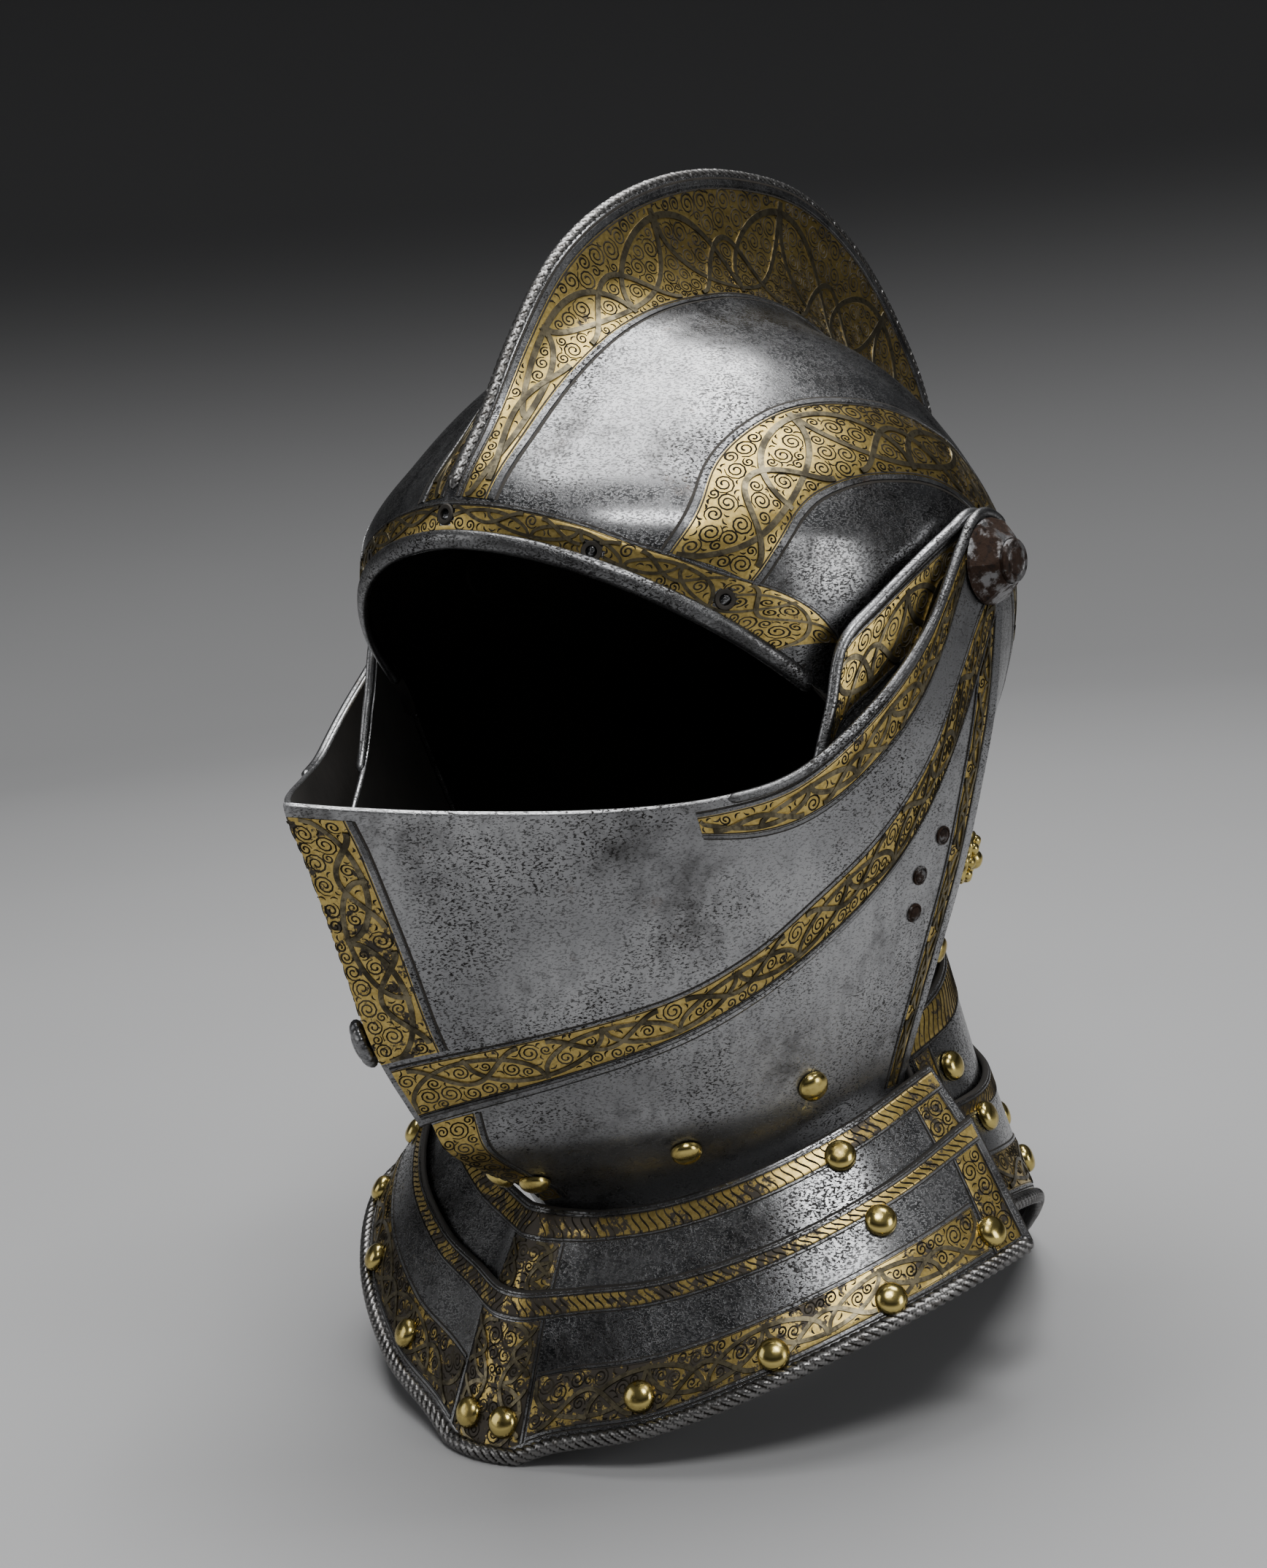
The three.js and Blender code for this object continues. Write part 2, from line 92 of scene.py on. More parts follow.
# Skull in the mid-plane: angle from the front over the top, bowl radius, comb height, taper
SKULL = table("angle radius comb taper", [
    (-90, 172, 0, 0.5), (-60, 140, 0, 0.5), (-32, 104, 0, 0.5), (-5, 98, 0, 0.5), (10, 99, 0, 0.53),
    (16, 98, 1, 0.55), (31, 87, 5.5, 0.6), (46, 80.5, 13, 0.63), (63, 77, 22, 0.67), (84, 75, 30, 0.7),
    (97, 75.5, 34, 0.7), (109, 76.5, 38, 0.7), (122, 78, 43, 0.7), (135, 80.5, 44, 0.74), (149, 85, 41, 0.76),
    (161, 89.5, 38.5, 0.74), (175, 94, 34, 0.66), (186, 96.5, 28, 0.58), (196, 97, 22, 0.53),
    (210, 98, 13, 0.5), (218, 100, 9, 0.5), (228, 103, 4, 0.5), (238, 110, 1, 0.5), (247, 121, 0, 0.5),
    (258, 145, 0, 0.5), (270, 172, 0, 0.5),
])
SKULL_EDGE = table("share y z", [
    (0, -45, -28), (0.35, -33, -60), (0.7, -27, -95), (1, -25, -119),
])
# Comb section: half width, share of the comb height
COMB = table("x lift", [
    (0, 1), (1.8, 1), (2.6, 0.9), (3.8, 0.74), (5.6, 0.55), (8.5, 0.35), (13, 0.16), (19, 0.04),
    (COMB_FOOT, 0),
])
# Face plates by level: half width at the pivots, keel distance in front of them, roundness, keel's point
VENTAIL = table("z width keel power point", [
    (-132, 75, 124.8, 2.9, 1.22), (-126, 77, 128.3, 2.9, 1.22), (-103, 84, 140.5, 2.9, 1.22),
    (-77, 91, 148, 2.9, 1.22), (-51, 96, 155.5, 2.9, 1.22), (-38, 97.5, 160, 2.9, 1.22),
    (-20, 98, 160, 2.9, 1.22), (0, 98, 158, 2.9, 1.22), (24, 96.5, 152, 2.9, 1.22),
])
BEVOR = table("z width keel power point", [
    (-176, 63, 78.5, 2.5, 1), (-172, 63.5, 80, 2.5, 1), (-160, 64, 86.5, 2.5, 1), (-154, 65, 92.5, 2.55, 1),
    (-147, 67, 104, 2.7, 1.05), (-136, 71, 119, 2.85, 1.15), (-126, 74, 124.3, 2.9, 1.22),
    (-103, 81, 135, 2.9, 1.22), (-77, 88, 142, 2.7, 1.2), (-51, 92.5, 149, 2.3, 1), (-38, 94, 152, 2.1, 1),
    (-20, 94.5, 152, 1.95, 1), (0, 94.5, 150, 1.9, 1), (24, 93, 142, 1.9, 1),
])
# Plate edges: share of the way back from keel to arm end, share of the keel distance, level
VENTAIL_TOP = table("way share z", [
    (0, 1, -37), (0.1, 0.936, -40), (0.2, 0.85, -43), (0.34, 0.7, -46.2), (0.46, 0.564, -46.5),
    (0.56, 0.45, -43), (0.68, 0.309, -30), (0.79, 0.18, -14), (0.88, 0.075, 5), (0.94, 0.01, 12.5),
    (0.98, -0.05, 9.5), (1, -0.076, 1.5),
])
VENTAIL_BOTTOM = table("way share z", [
    (0, 1, -126), (0.1, 0.91, -122), (0.2, 0.8, -117), (0.34, 0.641, -109), (0.46, 0.52, -100),
    (0.56, 0.415, -90), (0.68, 0.29, -76.5), (0.79, 0.19, -61.5), (0.88, 0.1, -41), (0.94, 0.035, -25),
    (0.98, -0.02, -12), (1, -0.076, -2),
])
BEVOR_TOP = table("way share z", [
    (0, 1, -88), (0.14, 0.8, -80), (0.28, 0.6, -66), (0.4, 0.42, -50), (0.5, 0.35, -31),
    (0.58, 0.312, -14.5), (0.66, 0.24, -5.5), (0.76, 0.15, 3), (0.86, 0.06, 9.5), (0.92, 0, 12.5),
    (0.97, -0.06, 8.5), (1, -0.1, -1),
])
BEVOR_BOTTOM = table("way share z", [
    (0, 1, -171), (0.14, 0.93, -168.5), (0.28, 0.8, -164), (0.4, 0.68, -159), (0.5, 0.56, -155),
    (0.58, 0.47, -151.5), (0.66, 0.37, -148.5), (0.76, 0.27, -145.5), (0.86, 0.2, -143.5),
    (0.92, 0.17, -142.5), (0.97, 0.15, -142), (1, 0.14, -141.5),
])
# Gorget plan: way round from the mid-plane, neck x y, rim x y, levels of neck, joint and rim
FRONT_GORGET = table("way neck_x neck_y rim_x rim_y neck_z joint_z rim_z", [
    (0, 0, -90, 0, -121, -159.5, -179.5, -219), (0.05, 4.2, -89.3, 5.8, -120.4, -159.8, -179.4, -219),
    (0.1, 8.2, -87.3, 11.4, -119, -160.3, -179, -217), (0.2, 15.8, -82.6, 22, -115, -160.8, -178.2, -212.7),
    (0.4, 35.3, -74, 49, -104, -157, -174.5, -206),
    (0.6, 56.6, -60.6, 78, -83.5, -149, -166, -193), (0.8, 72.1, -39, 99.8, -54, -140, -155.5, -181.5),
    (1, 77.3, -11.5, 107.4, -16, -133, -146.5, -177),
])
REAR_GORGET = table("way neck_x neck_y rim_x rim_y neck_z joint_z rim_z", [
    (0, 0, 58, 0, 92, -109, -150, -219), (0.16, 16, 56.5, 20, 91, -109, -150, -219),
    (0.32, 32, 50.5, 38, 84, -109, -150, -219), (0.48, 46, 40, 55, 66, -110, -149, -206),
    (0.64, 60.5, 26.5, 73, 42, -112, -148, -190), (0.82, 69.5, 8, 88, 15, -117, -147, -178),
    (1, 69.2, -14, 96, -15, -124, -146, -171),
])


def lerp(a, b, t):
    return a + (b - a) * t


def points(x, y, z):
    return np.stack(np.broadcast_arrays(x, y, z), axis=-1).astype(float)


def unit(v):
    return v / np.maximum(np.linalg.norm(v, axis=-1, keepdims=True), 1e-9)


# Surfaces of the plates
def skull_half_width(y, z):
    angle = np.degrees(np.arctan2(z, -y))
    angle = np.where(angle < -90, angle + 360, angle)
    share = np.minimum(np.hypot(y, z) / SKULL.radius(angle), 1)
    return SKULL_HALF_WIDTH * (1 - share * share) ** SKULL.taper(angle)


def on_skull(y, z):
    return points(skull_half_width(y, z), y, z)


def skull_rib(way, down):
    """Skull point on a rib: down runs 0 to 1 over the comb and 1 to 2 from its foot to the side edge."""
    way, down = np.broadcast_arrays(np.asarray(way, float), np.asarray(down, float))
    degrees = lerp(BROW_ANGLE, NAPE_ANGLE, way)
    angle = np.radians(degrees)
    out_y, out_z = -np.cos(angle), np.sin(angle)
    top_y, top_z = out_y * SKULL.radius(degrees), out_z * SKULL.radius(degrees)

    def bowl(share):
        y = lerp(top_y, SKULL_EDGE.y(way), share)
        z = lerp(top_z, SKULL_EDGE.z(way), share)
        return skull_half_width(y, z), y, z

    def share_at(x):
        low, high = np.zeros_like(way), np.full_like(way, 0.5)
        for _ in range(30):
            middle = (low + high) / 2
            narrow = bowl(middle)[0] < x
            low, high = np.where(narrow, middle, low), np.where(narrow, high, middle)
        return low

    comb_x = COMB_FOOT * np.clip(down, 0, 1) ** COMB_SPREAD
    side = np.clip(down - 1, 0, 1) ** SIDE_SPREAD
    start = share_at(comb_x)
    x, y, z = bowl(lerp(start, 1, side))
    lift = np.where(down < 1, COMB.lift(comb_x) * SKULL.comb(degrees), 0)
    return points(np.where(down < 1, comb_x, x), y + out_y * lift, z + out_z * lift)


def face_point(plate, share, z):
    x = plate.width(z) * np.maximum(1 - np.abs(share) ** plate.power(z), 0) ** plate.point(z)
    return points(x, -plate.keel(z) * share, z)


def on_ventail(share, z):
    return face_point(VENTAIL, share, z)


def on_bevor(share, z):
    return face_point(BEVOR, share, z)


def gorget_point(gorget, way, share):
    x = lerp(gorget.neck_x(way), gorget.rim_x(way), share)
    y = lerp(gorget.neck_y(way), gorget.rim_y(way), share)
    upper = lerp(gorget.neck_z(way), gorget.joint_z(way), share / JOINT_SHARE)
    lower = lerp(gorget.joint_z(way), gorget.rim_z(way), (share - JOINT_SHARE) / (1 - JOINT_SHARE))
    return points(x, y, np.maximum(np.where(share < JOINT_SHARE, upper, lower), FLOOR_Z))


def normals_of(surface, a, b, step=1e-3):
    """Outward directions of a surface given by two parameters."""
    along = surface(a + step, b) - surface(a - step, b)
    across = surface(a, b + step) - surface(a, b - step)
    normal = unit(np.cross(along, across))
    at = surface(a, b)
    outward = points(at[..., 0], at[..., 1], 0)
    return normal if (normal * outward).sum() > 0 else -normal


def sunk(surface, depth):
    """The same surface, a depth further in."""
    def below(a, b):
        return surface(a, b) - depth * normals_of(surface, a, b)
    return below


def lame_surface(gorget, inset):
    """A lame's outer surface, by way round from the mid-plane and share of the way down."""
    def nominal(way, share):
        return gorget_point(gorget, way, share)
    return sunk(nominal, inset) if inset else nominal


on_front_upper = lame_surface(FRONT_GORGET, UPPER_LAME_INSET)
on_front_lower = lame_surface(FRONT_GORGET, 0)
on_rear_upper = lame_surface(REAR_GORGET, UPPER_LAME_INSET)
on_rear_lower = lame_surface(REAR_GORGET, 0)


# Mesh making
class Piece:
    """Faces gathered for one Blender object, in millimetres about the pivot."""

    def __init__(self):
        self.points = []
        self.faces = []
        self.kinds = []
        self.count = 0

    def grid(self, rows, kind=0, flip=False, wrap=False):
        """Add a grid of points as quads."""
        self.grids(rows[None], kind, flip, wrap)
        return self

    def grids(self, stack, kind=0, flip=False, wrap=False):
        """Add a stack of grids of the same size."""
        k, n, m = stack.shape[:3]
        index = self.count + np.arange(k * n * m).reshape(k, n, m)
        if wrap:
            index = np.concatenate([index, index[:, :, :1]], axis=2)
        corners = [index[:, :-1, :-1], index[:, 1:, :-1], index[:, 1:, 1:], index[:, :-1, 1:]]
        quads = np.stack(corners, axis=-1).reshape(-1, 4)
        self.faces.append(quads[:, ::-1] if flip else quads)
        self.kinds.append(np.full(len(quads), kind))
        self.points.append(stack.reshape(-1, 3))
        self.count += k * n * m

    def clear_of(self, places, radius):
        """Drop the faces that come within a radius of any of the places."""
        verts = np.concatenate(self.points)
        faces = np.concatenate(self.faces)
        near = np.min([np.linalg.norm(verts - at, axis=1) for at in places], axis=0) < radius
        keep = ~near[faces].any(axis=1)
        used, index = np.unique(faces[keep], return_inverse=True)
        self.points = [verts[used]]
        self.faces = [index.reshape(-1, 4)]
        self.kinds = [np.concatenate(self.kinds)[keep]]
        self.count = len(used)

    def object(self, name, materials, sharp=50):
        verts = (np.concatenate(self.points) + PIVOT) * MM
        mesh = bpy.data.meshes.new(name)
        mesh.from_pydata(verts.tolist(), [], np.concatenate(self.faces).tolist())
        mesh.polygons.foreach_set("material_index", np.concatenate(self.kinds).astype(np.int32))
        for material in materials:
            mesh.materials.append(material)
        mesh.shade_smooth()
        mesh.set_sharp_from_angle(angle=math.radians(sharp))
        obj = bpy.data.objects.new(name, mesh)
        bpy.context.collection.objects.link(obj)
        return obj


def mirror(rows):
    return rows * np.array([-1, 1, 1])


def both_sides(half):
    """Half rows that start on the mid-plane, joined with their mirror image."""
    return np.concatenate([mirror(half[:, :0:-1]), half], axis=1)


def grid_normals(rows):
    down = np.gradient(rows, axis=0)
    across = np.gradient(rows, axis=1)
    normal = unit(np.cross(down, across))
    middle = rows[rows.shape[0] // 2, -rows.shape[1] // 4]
    sample = normal[rows.shape[0] // 2, -rows.shape[1] // 4]
    return normal if np.dot(sample, [middle[0], middle[1], 0]) > 0 else -normal


EDGE_STEPS = 4


def shell(outer, inner, flip=False, edge_kind=0):
    """A plate between two grids with rounded edges; the inside takes the second material."""
    piece = Piece()
    piece.grid(outer, 0, flip)
    piece.grid(inner, 1, not flip)

    def edge(a, b, beyond, turn):
        ring = []
        for k in range(EDGE_STEPS + 1):
            angle = math.pi * k / EDGE_STEPS
            half = np.linalg.norm(a - b, axis=-1, keepdims=True) / 2
            middle = (a + b) / 2
            ring.append(middle + (a - b) / 2 * math.cos(angle) + beyond * half * math.sin(angle))
        piece.grid(np.stack(ring), edge_kind, turn)

    edge(outer[0], inner[0], unit(outer[0] - outer[1]), flip)
    edge(outer[-1], inner[-1], unit(outer[-1] - outer[-2]), not flip)
    edge(outer[:, 0], inner[:, 0], unit(outer[:, 0] - outer[:, 1]), not flip)
    edge(outer[:, -1], inner[:, -1], unit(outer[:, -1] - outer[:, -2]), flip)
    return piece


def facing_out(outer):
    """True where a grid's quads need turning over to face outwards."""
    i, j = outer.shape[0] // 2, outer.shape[1] * 3 // 4
    normal = np.cross(outer[i + 1, j] - outer[i, j], outer[i, j + 1] - outer[i, j])
    return np.dot(normal, [outer[i, j, 0], outer[i, j, 1], 0]) < 0


def drill(obj, places, radius, length):
    """Cut round holes, each at a place and along a direction, right through a piece."""
    work = bmesh.new()
    work.from_mesh(obj.data)
    bmesh.ops.remove_doubles(work, verts=work.verts, dist=1e-6)
    work.to_mesh(obj.data)
    work.free()
    bits = Piece()
    for at, out in places:
        bits.grid(turned([(0.01, -length), (radius, -length), (radius, length), (0.01, length)], at, out, 24),
                  flip=True, wrap=True)
    bit = bits.object("drill_bits", [])
    cut = obj.modifiers.new("holes", "BOOLEAN")
    cut.object = bit
    cut.solver = "EXACT"
    cut.use_hole_tolerant = True
    graph = bpy.context.evaluated_depsgraph_get()
    drilled = bpy.data.meshes.new_from_object(obj.evaluated_get(graph))
    obj.modifiers.clear()
    obj.data = drilled
    drilled.set_sharp_from_angle(angle=math.radians(50))
    bpy.data.objects.remove(bit)


def dress(obj, body, slot, *nodes):
    """Set a piece on its body and hide the nodes that it stands for; the finish slot is not used."""
    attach(obj, body)
    if nodes:
        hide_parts(*nodes)
    return obj


# Finishes
class Nodes:
    """Short calls for building one material's nodes."""

    def __init__(self, name):
        self.material = bpy.data.materials.new(name)
        self.material.use_nodes = True
        self.tree = self.material.node_tree
        self.shader = self.tree.nodes["Principled BSDF"]
        self.place = self.tree.nodes.new("ShaderNodeTexCoord").outputs["Object"]

    def link(self, socket, value):
        if isinstance(value, bpy.types.NodeSocket):
            self.tree.links.new(value, socket)
        elif value is not None:
            socket.default_value = value

    def stretched(self, scale):
        node = self.tree.nodes.new("ShaderNodeMapping")
        node.inputs["Scale"].default_value = scale
        self.link(node.inputs["Vector"], self.place)
        return node.outputs["Vector"]

    def noise(self, scale, detail=4, rough=0.55, vector=None):
        node = self.tree.nodes.new("ShaderNodeTexNoise")
        node.inputs["Scale"].default_value = scale
        node.inputs["Detail"].default_value = detail
        node.inputs["Roughness"].default_value = rough
        self.link(node.inputs["Vector"], vector or self.place)
        return node.outputs["Fac"]

    def axis(self, name):
        """One coordinate of the place."""
        node = self.tree.nodes.new("ShaderNodeSeparateXYZ")
        self.link(node.inputs["Vector"], self.place)
        return node.outputs[name]

    def attribute(self, name):
        node = self.tree.nodes.new("ShaderNodeAttribute")
        node.attribute_name = name
        return node.outputs["Fac"]

    def span(self, value, low, high, to_low=0.0, to_high=1.0):
        node = self.tree.nodes.new("ShaderNodeMapRange")
        node.interpolation_type = "SMOOTHSTEP"
        self.link(node.inputs["Value"], value)
        for socket, number in zip(("From Min", "From Max", "To Min", "To Max"), (low, high, to_low, to_high)):
            node.inputs[socket].default_value = number
        return node.outputs["Result"]

    def math(self, kind, a, b):
        node = self.tree.nodes.new("ShaderNodeMath")
        node.operation = kind
        self.link(node.inputs[0], a)
        self.link(node.inputs[1], b)
        return node.outputs["Value"]

    def mix(self, share, a, b):
        node = self.tree.nodes.new("ShaderNodeMix")
        node.data_type = "RGBA"
        self.link(node.inputs["Factor"], share)
        self.link(node.inputs["A"], (*a, 1) if isinstance(a, tuple) else a)
        self.link(node.inputs["B"], (*b, 1) if isinstance(b, tuple) else b)
        return node.outputs["Result"]

    def bump(self, height, strength, distance):
        node = self.tree.nodes.new("ShaderNodeBump")
        node.inputs["Strength"].default_value = strength
        node.inputs["Distance"].default_value = distance
        self.link(node.inputs["Height"], height)
        return node.outputs["Normal"]

    def done(self, color, rough, normal=None, metallic=1.0):
        self.link(self.shader.inputs["Base Color"], (*color, 1) if isinstance(color, tuple) else color)
        self.link(self.shader.inputs["Roughness"], rough)
        self.link(self.shader.inputs["Metallic"], metallic)
        self.link(self.shader.inputs["Normal"], normal)
        return self.material


def steel_finish(name, bright=1.0, age=0.0, polish=0.26):
    """Polished plate gone grey: clouded, brushed, specked all over, with smoky stains where it has aged."""
    n = Nodes(name)
    cloud = n.noise(13, 4)
    streak = n.noise(1, 5, 0.6, n.stretched((330, 330, 55)))
    patches = n.span(n.noise(24, 6, 0.66), 0.38, 0.64)
    grain = n.noise(1, 3, 0.6, n.stretched((1200, 1200, 2300)))
    specks = n.span(grain, 0.535 - 0.03 * age, 0.61 - 0.03 * age)
    scars = n.span(n.noise(620, 5, 0.7), 0.6 - 0.04 * age, 0.68 - 0.04 * age)
    smoke = n.span(n.noise(30, 7, 0.7), 0.52 - 0.06 * age, 0.74 - 0.06 * age)
    light, dull, dark = (tuple(bright * c for c in rgb) for rgb in (
        (0.45, 0.452, 0.458), (0.24, 0.242, 0.248), (0.030, 0.028, 0.027)))
    color = n.mix(n.span(cloud, 0.32, 0.68), light, dull)
    color = n.mix(n.math("MULTIPLY", n.span(streak, 0.42, 0.72), 0.45), color, dull)
    color = n.mix(n.math("MULTIPLY", smoke, 0.75), color, dark)
    marks = n.math("MAXIMUM", n.math("MULTIPLY", specks, n.span(patches, 0, 1, 0.4, 1.0)),
                   n.math("MULTIPLY", scars, n.span(patches, 0.1, 0.9, 0.0, 0.9)))
    color = n.mix(marks, color, dark)
    rust = n.math("MULTIPLY", n.span(n.noise(75, 5, 0.7), 0.62, 0.76), 0.35)
    color = n.mix(rust, color, (0.10, 0.06, 0.035))
    rough = n.math("ADD", n.span(streak, 0.3, 0.7, polish, polish + 0.1), n.math("MULTIPLY", marks, 0.3))
    height = n.math("SUBTRACT", n.math("MULTIPLY", n.noise(900, 3), 0.12), marks)
    return n.done(color, rough, n.bump(height, 0.35, 0.00015))


# Painted shade: the plates' inner faces, the lames' edges and the inner pivot heads take this near-black
# colour in place of the shade inside the helmet.
def painted_shade_inside_finish():
    n = Nodes("painted_shade_inside")
    shade_mottle = n.noise(60, 5)
    return n.done(n.mix(shade_mottle, (0.012, 0.011, 0.010), (0.05, 0.045, 0.04)), 0.75,
                  n.bump(n.noise(400, 3), 0.3, 0.0003), 0.4)


def brass_finish():
    n = Nodes("domed_brass")
    tarnish = n.span(n.noise(260, 4), 0.45, 0.75)
    color = n.mix(tarnish, (0.60, 0.48, 0.165), (0.27, 0.20, 0.06))
    return n.done(color, n.span(tarnish, 0, 1, 0.2, 0.42), n.bump(n.noise(900, 3), 0.15, 0.0001))


def iron_finish():
    """Old iron: bare grey where it is rubbed, brown and rough with rust elsewhere."""
    n = Nodes("rusted_iron")
    rust = n.span(n.noise(130, 6, 0.7), 0.40, 0.52)
    flakes = n.span(n.noise(520, 5, 0.7), 0.5, 0.68)
    color = n.mix(rust, (0.17, 0.168, 0.17), (0.042, 0.026, 0.019))
    color = n.mix(flakes, color, (0.022, 0.017, 0.015))
    return n.done(color, n.span(rust, 0, 1, 0.36, 0.72), n.bump(n.noise(480, 6, 0.65), 0.8, 0.0005), 0.9)


def rope_finish():
    n = Nodes("roped_steel")
    groove = n.attribute("groove")
    # Painted shade: the grooves between the strands darken to near black by how far each point is pressed in.
    color = n.mix(n.span(groove, 0.25, 0.8), (0.24, 0.235, 0.23), (0.022, 0.02, 0.018))
    worn = n.span(n.noise(300, 4), 0.5, 0.75)
    color = n.mix(n.math("MULTIPLY", worn, 0.7), color, (0.09, 0.08, 0.07))
    return n.done(color, n.span(groove, 0, 1, 0.3, 0.6), n.bump(n.noise(700, 3), 0.3, 0.0002))


STEEL = steel_finish("plate_steel", 0.95, 0.35)
# Painted shade: a darker copy of the plate steel for the skull and lames; its heavier stains and pits are the
# plates' own wear.
DARK_STEEL = steel_finish("dark_plate_steel", 0.64, 0.75, 0.19)
# Painted shade: a still darker copy of the plate steel for the turned-under brow lip and the ventail arm
# rims, with heavier stains of its own.
LIP_STEEL = steel_finish("lip_steel", 0.6, 1.3)
PAINTED_SHADE_INSIDE = painted_shade_inside_finish()
BRASS = brass_finish()
IRON = iron_finish()
ROPE = rope_finish()


# Plates
SKULL_RIBS = 180
COMB_STEPS = 30
SIDE_STEPS = 44


def make_skull():
    way = np.linspace(0, 1, SKULL_RIBS)[:, None]
    down = np.concatenate([np.linspace(0, 1, COMB_STEPS, endpoint=False), np.linspace(1, 2, SIDE_STEPS)])
    half = skull_rib(way, down)
    outer = both_sides(half)
    inner = outer - WALL * grid_normals(outer)
    degrees = np.radians(lerp(BROW_ANGLE, NAPE_ANGLE, way))
    outward = points(0 * degrees, -np.cos(degrees), np.sin(degrees))
    comb = half[:, :COMB_STEPS] - WALL * outward
    comb[..., 0] = np.maximum(half[:, :COMB_STEPS, 0] - COMB_WALL, 0)
    middle = half.shape[1] - 1
    inner[:, middle:middle + COMB_STEPS] = comb
    inner[:, middle - COMB_STEPS + 1:middle + 1] = mirror(comb[:, ::-1])
    return dress(shell(outer, inner, facing_out(outer)).object("skull_plate", [DARK_STEEL, PAINTED_SHADE_INSIDE]),
                 "skull", "steel", "skull")


FACE_STEPS = 100
FACE_ROWS = 36


def make_face_plate(name, plate, top, bottom, body):
    way = np.linspace(0, 1, FACE_STEPS)[None, :]
    down = np.linspace(0, 1, FACE_ROWS)[:, None]
    share = lerp(top.share(way), bottom.share(way), down)
    half = face_point(plate, share, lerp(top.z(way), bottom.z(way), down))
    outer = both_sides(half)
    inner = outer - WALL * grid_normals(outer)
    return dress(shell(outer, inner, facing_out(outer)).object(f"{name}_plate", [STEEL, PAINTED_SHADE_INSIDE]),
                 body, "steel", name)


LAME_STEPS = 110
LAME_ROWS = 16
LAME_SPREAD = 1.25


def make_lame(name, gorget, start, end, inset, body):
    way = np.linspace(0, 1, LAME_STEPS)[None, :] ** LAME_SPREAD
    share = np.linspace(start, end, LAME_ROWS)[:, None]
    nominal = both_sides(gorget_point(gorget, way, share))
    normal = grid_normals(nominal)
    outer = nominal - inset * normal
    inner = nominal - (inset + WALL) * normal
    inner[-1, :, 2] = np.maximum(inner[-1, :, 2], FLOOR_Z)
    # Painted shade: the lames' rounded edges take the near-black inside colour, a dark line where the lames
    # overlap.
    piece = shell(outer, inner, facing_out(outer), 1)
    piece.points = [np.maximum(rows, [-np.inf, -np.inf, FLOOR_Z]) for rows in piece.points]
    return dress(piece.object(f"{name}_plate", [DARK_STEEL, PAINTED_SHADE_INSIDE]), body, "steel", name)


skull_plate = make_skull()
make_face_plate("bevor", BEVOR, BEVOR_TOP, BEVOR_BOTTOM, "bevor")
make_face_plate("ventail", VENTAIL, VENTAIL_TOP, VENTAIL_BOTTOM, "ventail")
make_lame("front_gorget_upper", FRONT_GORGET, 0, UPPER_LAME_END, UPPER_LAME_INSET, "bevor")
make_lame("front_gorget_lower", FRONT_GORGET, JOINT_SHARE, 1, 0, "bevor")
make_lame("rear_gorget_upper", REAR_GORGET, 0, UPPER_LAME_END, UPPER_LAME_INSET, "skull")
make_lame("rear_gorget_lower", REAR_GORGET, JOINT_SHARE, 1, 0, "skull")

# Fittings
SEAT_GAP = 0.35
DOME_RADIUS = 4.2
DOME_HEIGHT = 3


def seat(surface, a, b, side=1):
    """Place and outward direction of a fitting on a surface, on the wearer's left or right."""
    at = surface(np.array(a, float), np.array(b, float))
    out = normals_of(surface, np.array(a, float), np.array(b, float))
    flip = np.array([side, 1, 1])
    return at * flip, out * flip


def turned(profile, at, out, segments=28, wave=1.0):
    """Rows of a turned piece standing on a place; wave scales its radius by row and angle."""
    side = unit(np.cross(out, [0, 0, 1]))
    up = np.cross(side, out)
    around = angles(segments)
    radius, height = np.array(profile, float).T
    reach = radius[:, None] * np.ones(segments) * wave
    ring = np.cos(around)[:, None] * side + np.sin(around)[:, None] * up
    return at + height[:, None, None] * out + reach[..., None] * ring


def angles(segments):
    return np.linspace(0, 2 * math.pi, segments, endpoint=False)


def lobed(segments, lobes, depth):
    """Radius factors of a ring waved into lobes."""
    return 1 - depth * (0.5 - 0.5 * np.cos(lobes * angles(segments)))


def faceted(segments, facets, shares):
    """Radius factors that flatten rings into polygons, by a share for each row."""
    step = 2 * math.pi / facets
    flat = math.cos(step / 2) / np.cos(angles(segments) % step - step / 2)
    return 1 + np.array(shares)[:, None] * (flat - 1)


def dome_profile(radius, height, steps=9):
    angle = np.linspace(0, math.pi / 2, steps)
    cap = [(radius * math.cos(a) ** 0.8, height * (0.12 + 0.88 * math.sin(a))) for a in angle]
    return [(radius, 0)] + cap[:-1] + [(0.01, height)]


# Brass domes: name, surface, its two parameters
DOMES = {
    "bevor": [
        ("rim_rivet_1", on_front_lower, 0.055, 0.86), ("rim_rivet_2", on_front_lower, 0.365, 0.86),
        ("rim_rivet_3", on_front_lower, 0.575, 0.89), ("rim_rivet_4", on_front_lower, 0.75, 0.9),
        ("rim_rivet_5", on_front_lower, 0.94, 0.87), ("lower_lame_rivet", on_front_lower, 0.77, 0.54),
        ("upper_lame_rivet", on_front_upper, 0.74, 0.13), ("chin_rivet_1", on_bevor, 0.962, -150),
        ("chin_rivet_2", on_bevor, 0.686, -142.6), ("chin_rivet_3", on_bevor, 0.415, -129.3),
    ],
    "skull": [
        ("rear_upper_rivet", on_rear_upper, 0.88, 0.27), ("rear_lower_rivet_1", on_rear_lower, 0.86, 0.53),
        ("rear_lower_rivet_2", on_rear_lower, 0.5, 0.64), ("rear_lower_rivet_3", on_rear_lower, 0.66, 0.82),
        ("nape_rivet", on_skull, 13, -109),
    ],
}
CHEEK_RIVETS = [(0.117, -69), (0.177, -78), (0.183, -88)]
